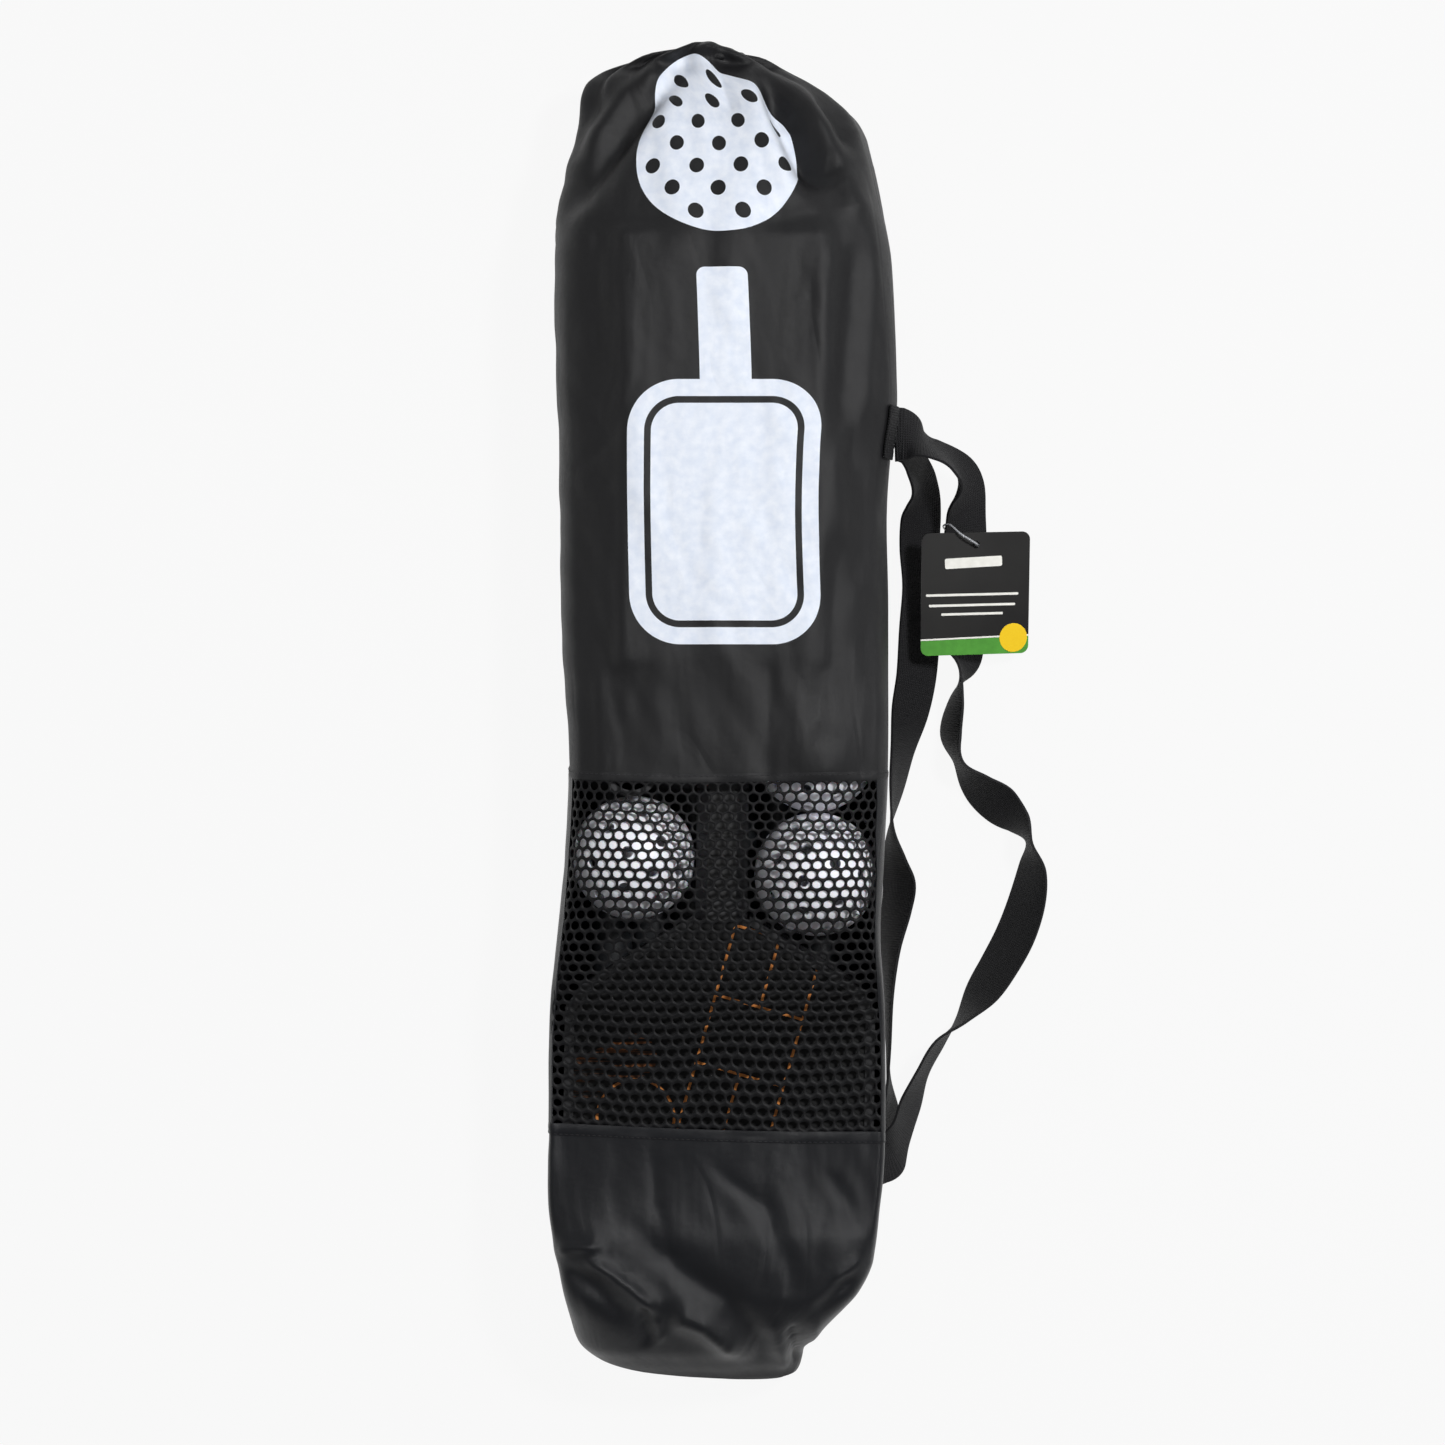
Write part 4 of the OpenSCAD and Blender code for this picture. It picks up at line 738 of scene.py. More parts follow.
def dulled_foot(tree, shader):
    """Wears the coating dull in the last 26 mm round the gathered foot."""
    gloss = shader.inputs["Roughness"].links[0].from_socket
    flat = add_node(tree, "TexCoord").outputs["UV"]
    along = add_node(tree, "SeparateXYZ", {0: flat}).outputs[1]
    worn = add_node(tree, "MapRange", {"Value": along, "From Min": (FOOT_Y + 26) * MM,
                                       "From Max": (FOOT_Y + 6) * MM, "To Max": 0.45})
    rougher = add_node(tree, "Math", {0: gloss, 1: worn}, operation="ADD", use_clamp=True)
    feed(tree, shader, {"Roughness": rougher})


dulled_foot(coated_tree, coated_shader)

# The print on the flat cloth, in mm: middles, the ball's radius, its holes' radius and spacing,
# and how far from the ball's middle their middles may lie.
PRINT_BALL, PRINT_BLADE, PRINT_HANDLE = (31, 344), (29, 124), (29, 232)
PRINT_BALL_R, PRINT_HOLE_R, PRINT_HOLE_PITCH, PRINT_HOLES_IN = 55, 4.7, 20, 46.0


def printed_polyester():
    """The same cloth with a thick white screen print: a perforated ball above a paddle."""
    material, tree, shader = woven_polyester("screen_printed_polyester", *PLAIN_LOOK)
    flat = add_node(tree, "TexCoord").outputs["UV"]
    disc = filled_box(tree, flat, PRINT_BALL, (PRINT_BALL_R, PRINT_BALL_R), PRINT_BALL_R)
    turned = add_node(tree, "Mapping", {
        "Location": (PRINT_BALL[0] * MM, PRINT_BALL[1] * MM, 0), "Rotation": (0, 0, math.pi / 4),
        "Scale": (MM, MM, MM), "Vector": flat}, vector_type="TEXTURE")
    half = PRINT_HOLE_PITCH / 2
    cell = add_node(tree, "VectorMath", {0: turned, 1: (half, half, 1), 2: (-half, -half, -1)},
                    operation="WRAP")
    # A hole is cut only where its middle is well inside the disc.
    middle = add_node(tree, "VectorMath", {0: turned, 1: cell}, operation="SUBTRACT")
    hole, well_in = [
        add_node(tree, "Math", {
            0: add_node(tree, "VectorMath", {0: away}, operation="LENGTH").outputs["Value"],
            1: reach}, operation="LESS_THAN")
        for away, reach in ((cell, PRINT_HOLE_R), (middle, PRINT_HOLES_IN))]
    holes = add_node(tree, "Math", {0: well_in, 1: hole}, operation="MULTIPLY")
    ball = add_node(tree, "Math", {0: disc, 1: holes}, operation="SUBTRACT", use_clamp=True)
    # The edge guard shows as a dark line 4 mm wide, 12 mm in from the edge.
    outline = flat, PRINT_BLADE, (57, 78), 30
    blade, guard = filled_box(tree, *outline), lined_box(tree, -12.0, 2.0, *outline)
    face = add_node(tree, "Math", {0: blade, 1: guard}, operation="SUBTRACT", use_clamp=True)
    handle = filled_box(tree, flat, PRINT_HANDLE, (15, 36), 5)
    printed_over(tree, shader, flat, "#e6ebf4", "#d6deec", any_of(tree, [ball, face, handle]))
    return material


printed = printed_polyester()

panel("upper_panel_cloth", front_points, FRONT, WINDOW_Y[1], ROWS[-1], printed, "bag_upper_panel")
panel("lower_panel_cloth", front_points, FRONT, ROWS[0], WINDOW_Y[0], coated, "bag_lower_panel")
panel("back_panel_cloth", back_points, BACK, ROWS[0], ROWS[-1], cloth, "bag_back_panel")


def gathered_foot():
    """The foot of the bag, puckered into a knot of cloth and sewn shut."""
    ring = np.concatenate([front_points[0], back_points[0][1:]])
    knot = np.array([19, FOOT_Y - 1.5, 8.5])
    shares = np.linspace(0, 1, 9)[:, None, None]
    turn = np.linspace(0, 2 * math.pi, len(ring))
    disc = mix(ring[None], knot[None, None], shares)
    inwards = np.sin(shares[:, :, 0] * math.pi)
    disc[:, :, 1] += 0.8 * inwards ** 0.7 + 0.45 * inwards * np.cos(14 * turn)[None]
    sheet = close_round(cloth_grid("foot_closure_cloth", disc, disc[:, :, [0, 2]]))
    smooth(thicken(sheet, CLOTH_T))
    return settle(sheet, coated, "bag_cloth", "root", "bag_foot_closure")


gathered_foot()


def bunched_hem():
    """The channel round the drawn mouth, bunched into small pleats."""
    around, across = 192, 17
    turn = np.linspace(0, 2 * math.pi, around + 1)[None, :]
    roll = np.linspace(0, 2 * math.pi, across)[:, None]
    gather = (0.6 * np.cos(PLEATS * turn + 0.8 * np.sin(3 * turn))
              + 0.3 * np.cos(29 * turn + 1.3))
    r = MOUTH_ROLL_R * (0.86 + 0.12 * gather)
    reach = MOUTH_R + r * np.cos(roll)
    grid = np.stack([
        MOUTH_AT[0] + reach * np.cos(turn),
        MOUTH_Y - MOUTH_ROLL_R + r * np.sin(roll) + 0 * turn,
        MOUTH_AT[1] + reach * np.sin(turn),
    ], axis=-1)
    laid = np.stack([roll * MOUTH_ROLL_R + 0 * turn, turn * MOUTH_R * 3 + 0 * roll], axis=-1)
    sheet = smooth(close_round(cloth_grid("mouth_hem_cloth", grid, laid)))
    return settle(sheet, cloth, "bag_cloth", "root", "mouth_hem")


bunched_hem()


# ---- The mesh window ----

def pulled_knit(flat, width, length, corner_r):
    """Places of the knit along the bag and across it, with its holes flattened towards the foot."""
    row = np.round((flat[:, 1]) / (1.5 * corner_r))
    column = np.round(flat[:, 0] / MESH_PITCH - 0.5 * (row % 2)) + 0.5 * (row % 2)
    up = flat[:, 1] - row * 1.5 * corner_r
    from_hole = np.hypot(flat[:, 0] - column * MESH_PITCH, up)
    rim = from_hole < MESH_PITCH * (0.5 - MESH_STRAND_SHARE / 4)
    # The pull fades out towards the top of the window.
    pulled = np.clip(1.15 - (flat[:, 1] - corner_r) / (0.75 * length), 0, 1)
    along = flat[:, 1] - np.where(rim, 0.26 * pulled * up, 0) - corner_r
    across = flat[:, 0] - MESH_PITCH
    # The yarns lie uneven by under 2 mm, most of all near the foot.
    across = across + 0.7 * ripple(across, along, 24, 19, 2.2)
    low = np.clip(1.3 - along / length, 0.3, 1)
    y = (WINDOW_Y[0] - 3 + along + 0.7 * ripple(across, along, 17, 24, 6.6)
         + 1.8 * low * ripple(across, along, 48, 40, 9.1))
    return y, 0.5 + SEAM_ROLL - np.clip(across, 0, width) / GIRTH


def knitted_window():
    """Hexagonal knitted mesh: one cell is modelled, repeated, and then laid over the bag."""
    corner_r = MESH_PITCH / math.sqrt(3)
    net = add_object("mesh_window_knit", bpy.ops.mesh.primitive_circle_add,
                     vertices=6, radius=corner_r, fill_type="NGON")
    bpy.ops.object.mode_set(mode="EDIT")
    bpy.ops.mesh.select_all(action="SELECT")
    bpy.ops.mesh.subdivide(number_cuts=1)
    bpy.ops.mesh.select_all(action="SELECT")
    bpy.ops.mesh.inset(thickness=MESH_PITCH * MESH_STRAND_SHARE / 2)
    bpy.ops.transform.tosphere(value=0.85)
    bpy.ops.transform.resize(value=(1, 0.93, 1))
    bpy.ops.mesh.delete(type="FACE")
    bpy.ops.object.mode_set(mode="OBJECT")
    width, length = 0.5 * GIRTH, WINDOW_Y[1] - WINDOW_Y[0] + 6
    columns = math.ceil(width / MESH_PITCH) + 2
    pairs = math.ceil(length / (3 * corner_r)) + 1
    # Two cells side by side, half a row apart, are repeated across and then along the window.
    for shift, count in (((MESH_PITCH / 2, 1.5 * corner_r, 0), 2), ((MESH_PITCH, 0, 0), columns),
                         ((0, 3 * corner_r, 0), pairs)):
        finish_with(net, "ARRAY", count=count, use_relative_offset=False, use_constant_offset=True,
                    constant_offset_displace=shift, use_merge_vertices=True, merge_threshold=0.05)
    pick(net)
    bpy.ops.object.mode_set(mode="EDIT")
    # The patch is trimmed to the seams on each side and to the hems.
    for place, way in (((MESH_PITCH, 0, 0), (-1, 0, 0)), ((MESH_PITCH + width, 0, 0), (1, 0, 0)),
                       ((0, corner_r, 0), (0, -1, 0)), ((0, corner_r + length, 0), (0, 1, 0))):
        bpy.ops.mesh.select_all(action="SELECT")
        bpy.ops.mesh.bisect(plane_co=place, plane_no=way, clear_outer=True)
    bpy.ops.mesh.select_all(action="SELECT")
    bpy.ops.mesh.remove_doubles(threshold=0.05)
    bpy.ops.object.mode_set(mode="OBJECT")
    y, share = pulled_knit(points_of(net), width, length, corner_r)
    net.data.vertices.foreach_set("co", (on_cloth(y, share, -0.2) * MM).ravel())
    net.data.update()
    smooth(thicken(net, MESH_T))
    return settle(net, knit, "bag_mesh", "root", "bag_mesh_window")


# ---- Hems, seams and stitches ----

def fold_rise(count):
    """How far a folded band stands off the bag at so many places across it, in mm."""
    return 0.1 + 0.4 * np.sqrt(np.sin(np.linspace(0.02, math.pi - 0.02, count)))


def hem(name, y0, y1, material, node):
    """A folded band of cloth that lies along one edge of the window."""
    y, s = np.meshgrid(np.linspace(y0, y1, 6), FRONT[::-1], indexing="ij")
    sheet = cloth_grid(name, on_cloth(y, s, fold_rise(6)[:, None]), laid_flat(y, s))
    smooth(thicken(subdivide(sheet), HEM_T), 60)
    return settle(sheet, material, "bag_cloth", "root", node)


def side_seam(name, side, covered):
    """The seam allowance beside the window: it covers so many mm from the side, at four places."""
    rows = ROWS[row_at(WINDOW_Y[0]):row_at(WINDOW_Y[1]) + 1]
    edge = SEAM_ROLL - 0.002 if side > 0 else 0.5 + SEAM_ROLL + 0.002
    inner = np.zeros(len(rows))
    for k, y in enumerate(rows):
        x = side * on_cloth(y, FRONT)[:, 0]
        past = x < x.max() - np.interp(y, np.linspace(rows[0], rows[-1], 4), covered)
        inner[k] = FRONT[np.flatnonzero(past)[0 if side > 0 else -1]]
    inner = np.convolve(np.pad(inner, 3, mode="edge"), np.ones(7) / 7, mode="valid")
    y = np.repeat(rows[:, None], 13, axis=1)
    s = mix(edge, inner[:, None], np.linspace(0, 1, 13)[None, :])[:, ::-side]
    sheet = cloth_grid(name, on_cloth(y, s, fold_rise(13)[None, :]), laid_flat(y, s))
    smooth(thicken(sheet, HEM_T), 60)
    return settle(sheet, coated, "bag_cloth", "root")


hems = [
    side_seam("right_window_seam", 1, (2.2, 2.5, 4, 7)),
    side_seam("left_window_seam", -1, (2, 2.4, 3, 3.4)),
    hem("upper_hem_fold", WINDOW_Y[1] - HEM_OVER, WINDOW_Y[1] + UPPER_HEM, cloth,
        "window_hem_upper"),
    hem("lower_hem_fold", WINDOW_Y[0] - LOWER_HEM, WINDOW_Y[0] + HEM_OVER, coated,
        "window_hem_lower"),
]
knit = knitted_mesh()
knitted_window()


def stitch_row(name, line, up, material):
    """A row of thread stitches along a line of places in mm, each a short bead of thread."""
    line = np.array(line, float)
    run = run_along(line)
    bead = add_object(name, bpy.ops.mesh.primitive_uv_sphere_add,
                      segments=6, ring_count=4, radius=STITCH_D / 2 * MM)
    shape = points_of(bead)
    shape[:, 2] *= STITCH_LEN / STITCH_D
    faces = [list(face.vertices) for face in bead.data.polygons]
    points, polygons = [], []
    for at in np.arange(STITCH_PITCH / 2, run[-1], STITCH_PITCH):
        here, ahead = [np.array([np.interp(place, run, line[:, k]) for k in range(3)])
                       for place in (at, min(at + 1, run[-1]))]
        turn = Vector(ahead - here).normalized().to_track_quat("Z", "Y").to_matrix()
        polygons += [[len(points) + k for k in face] for face in faces]
        points += [Vector(here + np.asarray(up) * 0.1) * MM + turn @ Vector(p) for p in shape]
    bead.data.clear_geometry()
    bead.data.from_pydata(points, [], polygons)
    smooth(bead)
    return settle(bead, material, "bag_cloth", "root")


thread, *_ = grained("spun_polyester_thread", "#101012", "#242428", (0.5, 0.6), 0.4, 0.1,
                     Specular_IOR_Level=0.4)

for name, y in (("upper_hem_stitches", WINDOW_Y[1] + UPPER_STITCHES),
                ("lower_hem_stitches", WINDOW_Y[0] - LOWER_STITCHES)):
    stitch_row(name, on_cloth(y, FRONT[1:-1], 0.5), (0, 0, 1), thread)


# ---- Straps ----

webbing = woven_webbing()


def beside(p):
    """A place given as mm out from the bag's side, along it from the lower anchor, and up."""
    return np.array([HALF_W + STRAP_GAP + p[0], ANCHOR_Y[0] + p[1], p[2]])


# Each point is a place beside the bag and the way the webbing's width lies there.
OUTER_ROUTE = [
    ((13, 443, 77), (0, -1, 0.1)), ((20, 442, 75), (0, -0.85, 0.5)),
    ((29, 437, 71), (0, -0.5, 0.87)), ((40, 431, 63), (-0.15, -0.28, 0.95)),
    ((50, 423, 48), (-0.3, -0.2, 0.93)), ((55, 412, 33), (-0.6, -0.1, 0.78)),
    ((56, 399, 22), (-0.74, 0, 0.67)), ((56, 386, 17), (-0.84, 0, 0.54)),
    ((55, 367, 12), (-0.88, 0, 0.47)), ((55, 345, 10), (-0.9, 0, 0.43)),
    ((55, 327, 11), (-0.86, 0, 0.5)), ((55, 314, 12), (-0.8, 0, 0.6)),
    ((54, 299, 17), (-0.2, 0, 0.97)), ((50, 281, 18), (0.2, 0, 0.97)),
    ((47, 261, 18), (0.3, 0, 0.95)), ((52, 244, 18), (0.05, 0.1, 1)),
    ((63, 230, 17), (0.25, 0.45, 0.85)), ((77, 218, 15), (0.4, 0.6, 0.68)),
    ((89, 207, 17), (0.3, 0.3, 0.9)), ((96, 194, 18), (0, 0, 1)), ((98, 178, 17), (0.4, 0, 0.92)),
    ((95, 158, 15), (0.6, -0.05, 0.8)), ((88, 137, 14), (0.66, -0.1, 0.74)),
    ((78, 118, 14), (0.6, -0.2, 0.76)), ((67, 101, 16), (0.5, -0.2, 0.84)),
    ((54, 84, 18), (0.1, 0, 1)), ((40, 69, 18), (-0.2, 0.2, 0.95)),
    ((29, 50, 18), (-0.2, 0.3, 0.9)), ((22, 32, 19), (-0.3, 0.5, 0.8)),
    ((16, 15, 22), (-0.2, 0.75, 0.63)), ((10, 3, 29), (-0.1, 1, 0.1)), ((4, 0, 35), (0, 1, 0)),
]
INNER_ROUTE = [
    ((12, 443, 69), (0, -1, 0)), ((16, 441, 61), (0, -1, 0.1)),
    ((21, 434, 51), (-0.1, -0.95, 0.3)), ((26, 422, 41), (-0.3, -0.7, 0.6)),
    ((28, 411, 30), (-0.6, -0.3, 0.75)), ((28, 397, 20), (-0.76, 0, 0.65)),
    ((28, 377, 13), (-0.8, 0, 0.6)), ((30, 353, 12), (-0.82, 0, 0.57)),
    ((28, 327, 12), (-0.82, 0, 0.57)), ((26, 299, 12), (-0.8, 0, 0.6)),
    ((22, 277, 13), (-0.75, 0, 0.66)), ((17, 252, 15), (-0.5, 0, 0.87)),
    ((13, 227, 17), (-0.3, 0, 0.95)), ((10, 204, 18), (0, 0, 1)),
    ((12, 185, 17), (0.35, 0, 0.93)), ((15, 169, 15), (0.55, 0, 0.83)),
    ((13, 151, 15), (0.5, 0, 0.87)), ((9, 127, 17), (0.3, 0, 0.95)), ((8, 97, 18), (0.1, 0, 1)),
    ((8, 67, 18), (0, 0, 1)), ((8, 46, 17), (-0.1, 0.1, 1)), ((9, 28, 17), (-0.3, 0.4, 0.85)),
    ((9, 13, 16), (-0.2, 0.75, 0.6)), ((7, 3, 20), (-0.1, 1, 0.1)), ((3, 0, 26), (0, 1, 0)),
]


def sewn_end(y, share, turn):
    """The end of a strap against the cloth: its middle and the way its width lies."""
    lift = STRAP_GAP + STRAP_T / 2
    a, b = on_cloth([y - STRAP_W / 2, y + STRAP_W / 2], share, lift)
    return (a + b) / 2, turn * (b - a) / np.linalg.norm(b - a)


def curve(values, u):
    """Places on a smooth curve through the values, at positions counted in values."""
    values = np.array(values, float)
    i = np.minimum(u.astype(int), len(values) - 2)
    t = (u - i)[:, None]
    a, b, c = values[np.maximum(i - 1, 0)], values[i], values[i + 1]
    d = values[np.minimum(i + 2, len(values) - 1)]
    return bend(a, b, c, d, t)


def webbing_edges(strap, offset):
    """Gives webbing its thickness and its slightly rounded selvedges."""
    return smooth(round_edges(thicken(strap, STRAP_T, offset), 0.5, 50), 50)


def webbing_strap(name, route, shares, node):
    """A length of webbing along its route, with thin selvedges and the slight waves of its lay."""
    ends = sewn_end(ANCHOR_Y[1], shares[0], -1), sewn_end(ANCHOR_Y[0], shares[1], 1)
    route = [ends[0]] + [(beside(p), w) for p, w in route] + [ends[1]]
    u = np.linspace(0, len(route) - 1, 8 * (len(route) - 1) + 1)
    middle = curve([r[0] for r in route], u)
    way = unit(np.gradient(middle, axis=0))
    across = curve([r[1] for r in route], u)
    across = unit(across - way * (across * way).sum(axis=1, keepdims=True))
    up = np.cross(way, across)
    run = run_along(middle)
    along, steps = np.meshgrid(run, np.linspace(-1, 1, 13), indexing="ij")
    crown = 0.5 * (1 - steps ** 2) + 0.25 * ripple(along, steps * 16, 30, 14, len(route))
    side = steps * STRAP_W / 2
    points = middle[:, None] + across[:, None] * side[..., None] + up[:, None] * crown[..., None]
    strap = webbing_edges(cloth_grid(name, points, np.stack([side, along], axis=-1)), 0)
    return settle(strap, webbing, "webbing", "straps", node)


# Each strap leaves its anchors a little way round the girth from where they start.
webbing_strap("outer_strap_webbing", OUTER_ROUTE,
              (ANCHOR_SHARE[1] - 0.006, ANCHOR_SHARE[0] - 0.013), "outer_strap")
webbing_strap("inner_strap_webbing", INNER_ROUTE,
              (ANCHOR_SHARE[1] - 0.015, ANCHOR_SHARE[0] - 0.023), "inner_strap")


def strap_end(name, y, share, node):
    """The folded end of the webbing, sewn down on the bag with a box of stitches."""
    rows = np.linspace(y - STRAP_W / 2, y + STRAP_W / 2, 17)
    yy, ss = np.meshgrid(rows, np.linspace(share + ANCHOR_WIDE, share, 9), indexing="ij")
    laid = np.stack([yy, -ss * GIRTH], axis=-1)
    sheet = webbing_edges(cloth_grid(name, on_cloth(yy, ss, STRAP_GAP + 0.4 + STRAP_T), laid), -1)
    box = [(-13, 0.15), (13, 0.15), (13, 0.85), (-13, 0.85), (-13, 0.15), (13, 0.85)]
    line = [on_cloth(y + a, share + b * ANCHOR_WIDE, STRAP_GAP + 0.5 + STRAP_T) for a, b in box]
    path = np.concatenate([np.linspace(p, q, 12)[:-1] for p, q in zip(line, line[1:])])
    stitch_row(name + "_stitches", path, (0, 0, 0), thread)
    return settle(sheet, webbing, "webbing", "root", node)


strap_end("top_strap_end", ANCHOR_Y[1], ANCHOR_SHARE[1], "strap_anchor_top")
strap_end("bottom_strap_end", ANCHOR_Y[0], ANCHOR_SHARE[0], "strap_anchor_bottom")


# ---- Balls ----

# Rings of holes in a ball, as degrees from its pole and a count of holes.
HOLE_RINGS = [(0, 1), (30, 5), (60, 9), (90, 10), (120, 9), (150, 5), (180, 1)]
BALL_WALL, BALL_HOLE_R = 2.6, 3.5


def perforated_ball():
    """A hollow ball with rings of round holes, whose rims are a little rounded."""
    shell = add_object("ball_pattern", bpy.ops.mesh.primitive_uv_sphere_add,
                       segments=96, ring_count=48, radius=BALL_R * MM)
    thicken(shell, BALL_WALL)
    drills = []
    for from_pole, count in HOLE_RINGS:
        for k in range(count):
            turn = Euler((0, math.radians(from_pole), math.radians((k + 0.5) * 360 / count)), "XYZ")
            drills.append(add_object(
                "drill", bpy.ops.mesh.primitive_cylinder_add, vertices=24, radius=BALL_HOLE_R * MM,
                depth=5 * BALL_WALL * MM, rotation=turn,
                location=turn.to_matrix() @ Vector((0, 0, BALL_R * MM))))
    pick(*drills)
    bpy.ops.object.join()
    finish_with(shell, "BOOLEAN", object=drills[0], operation="DIFFERENCE", solver="EXACT",
                use_self=True)
    bpy.data.objects.remove(drills[0])
    return smooth(round_edges(shell, 0.45, 45), 35)


ball_plastic, *_ = grained(
    "moulded_polyethylene", "#ebebf4", "#f8f8fc", (0.34, 0.46), 0.8, 0.03,
    Specular_IOR_Level=0.45, Subsurface_Weight=0.08, Subsurface_Scale=0.004)
pattern = perforated_ball()
for node, (x, y), turn in zip(("ball_left", "ball_right", "ball_upper"), BALLS,
                              ((20, 10, 35), (-15, 25, 80), (35, -20, 10))):
    ball = bpy.data.objects.new(node + "_shell", pattern.data.copy())
    bpy.context.scene.collection.objects.link(ball)
    turned = Euler([math.radians(a) for a in turn], "XYZ").to_matrix().to_4x4()
    ball.data.transform(Matrix.Translation(Vector((x, y, BALL_Z)) * MM) @ turned)
    settle(ball, ball_plastic, "ball_plastic", "root", node)
bpy.data.objects.remove(pattern)


# ---- Hang tag ----

TAG_AT = beside((61, 379, 36))
TAG_LEAN = [math.radians(a) for a in (9, 13, 2)]
# The card's height, how far its hole is below its top edge, and where its lower edge lies,
# measured from the hole.
TAG_H, TAG_HOLE_DROP = 76, 7.5
TAG_LOW = TAG_HOLE_DROP - TAG_H
# Its three thin printed bars: place up from the hole, and half length.
TAG_LINES = [(-31, 30), (-37.5, 28), (-43, 20)]


def printed_card():
    """Laminated black card: an even, slightly soft gloss under flat printed inks."""
    material, tree, shader = grained(
        "laminated_card", "#0f0e0e", "#191817", (0.3, 0.4), 0.5, 0.02, Specular_IOR_Level=0.4)
    own = add_node(tree, "Mapping", {
        "Location": TAG_AT * MM, "Rotation": TAG_LEAN,
        "Vector": add_node(tree, "TexCoord").outputs["Object"]}, vector_type="TEXTURE")
    band = own, (0, TAG_LOW - 1), (60, 11), 0.1, 1.2
    printed_over(tree, shader, own, "#4f9a35", "#44892d", filled_box(tree, *band), 0.36)
    marks = [lined_box(tree, 0.6, 0.5, *band),
             filled_box(tree, own, (-1.5, -11), (18.5, 3.2), 1.2, 2)]
    marks += [filled_box(tree, own, (-2, drop), (half, 0.75), 0.6) for drop, half in TAG_LINES]
    printed_over(tree, shader, own, "#f1f0ea", "#e2e1da", any_of(tree, marks), 0.38)
    return material


# The loop goes through the card's hole and round the outer strap.
LOOP_ROUTE = [
    TAG_AT + [0.1, 0, 5], beside([51, 385, 44]), beside([44.7, 391, 38]),
    beside([41.7, 391, 26]), beside([45.7, 388, 12]), beside([52, 386, 5]),
    beside([65, 382, 2]), beside([75, 379, 8]), beside([74, 378, 20]),
    beside([67, 378, 29]), TAG_AT + [0.1, 0, -3.5],
]
LOOP_R = 0.6


def tag_filament():
    """A thin nylon loop on one smooth closed curve."""
    closed = LOOP_ROUTE[-2:] + LOOP_ROUTE + LOOP_ROUTE[:3]
    u = np.linspace(2, 2 + len(LOOP_ROUTE), 12 * len(LOOP_ROUTE) + 1)
    middle = curve(closed, u)
    way = unit(curve(closed, u + 0.01) - curve(closed, u - 0.01))
    side = unit(np.cross(way, [0, 1, 0]))
    up = np.cross(side, way)
    turn = np.linspace(0, 2 * math.pi, 13)
    cos, sin = np.cos(turn)[None, :, None], np.sin(turn)[None, :, None]
    points = middle[:, None] + LOOP_R * (cos * side[:, None] + sin * up[:, None])
    tube = smooth(close_round(cloth_grid("tag_filament", points, points[..., :2]), 0.00001))
    return settle(tube, nylon, "tag_loop", "straps", "tag_loop")


nylon, *_ = grained("extruded_nylon", "#c9ccd2", "#e6e8ec", (0.2, 0.3), 0.6, 0.02,
                    Specular_IOR_Level=0.5, Transmission_Weight=0.55)
tag_filament()


# ---- Paddles ----

# The print on a paddle's face, a court and a ball, as outlines and lines: middle, half size and
# corner radius in mm, and turn in degrees. The brush strokes' patch is given the same way.
PADDLE_OUTLINES = [((20, -190), (27, 64), 3, -16), ((-48, -236), (23, 23), 23, 0)]
PADDLE_LINES = [
    ((26, -170), (27, 0.8), 0.4, -16), ((14, -210), (27, 0.8), 0.4, -16),
    ((32, -150), (0.8, 21), 0.4, -16), ((8, -231), (0.8, 21), 0.4, -16),
]
PADDLE_SMEAR = ((-64, -206), (30, 13), 12, 24)


def printed_face():
    """Peel-ply composite face: a fine gritty black skin, painted darker than its own black as
    painted shade inside the bag, with thin orange lines and strokes.
    """
    material, tree, shader = grained(
        "gritty_composite_face", "#060607", "#0e0e10", (0.5, 0.62), 0.7, 0.08,
        Specular_IOR_Level=0.25)
    place = add_node(tree, "TexCoord").outputs["Object"]
    marks = [lined_box(tree, 0.0, 0.8, place, *shape) for shape in PADDLE_OUTLINES]
    marks += [filled_box(tree, place, *shape) for shape in PADDLE_LINES]
    printed_over(tree, shader, place, "#d98a45", "#a8662f", any_of(tree, marks), 0.45)
    # Dry brush strokes beside the ball: streaks 2 mm apart, faint enough for the skin to show.
    strokes = add_node(tree, "Mapping", {"Rotation": (0, 0, math.radians(-PADDLE_SMEAR[-1])),
                                         "Scale": (25, 520, 1), "Vector": place})
    streaks = add_node(tree, "TexNoise", {"Scale": 1.0, "Detail": 2.0, "Vector": strokes})
    bristles = add_node(tree, "MapRange", {"Value": streaks, "From Min": 0.48, "From Max": 0.68,
                                           "To Max": 0.55})
    smear = filled_box(tree, place, *PADDLE_SMEAR)
    dry = add_node(tree, "Math", {0: smear, 1: bristles}, operation="MULTIPLY")
    printed_over(tree, shader, place, "#b06a30", "#8a4f22", dry, 0.5)
    return material


# ---- Materials of the nodes that keep their CAD shape ----

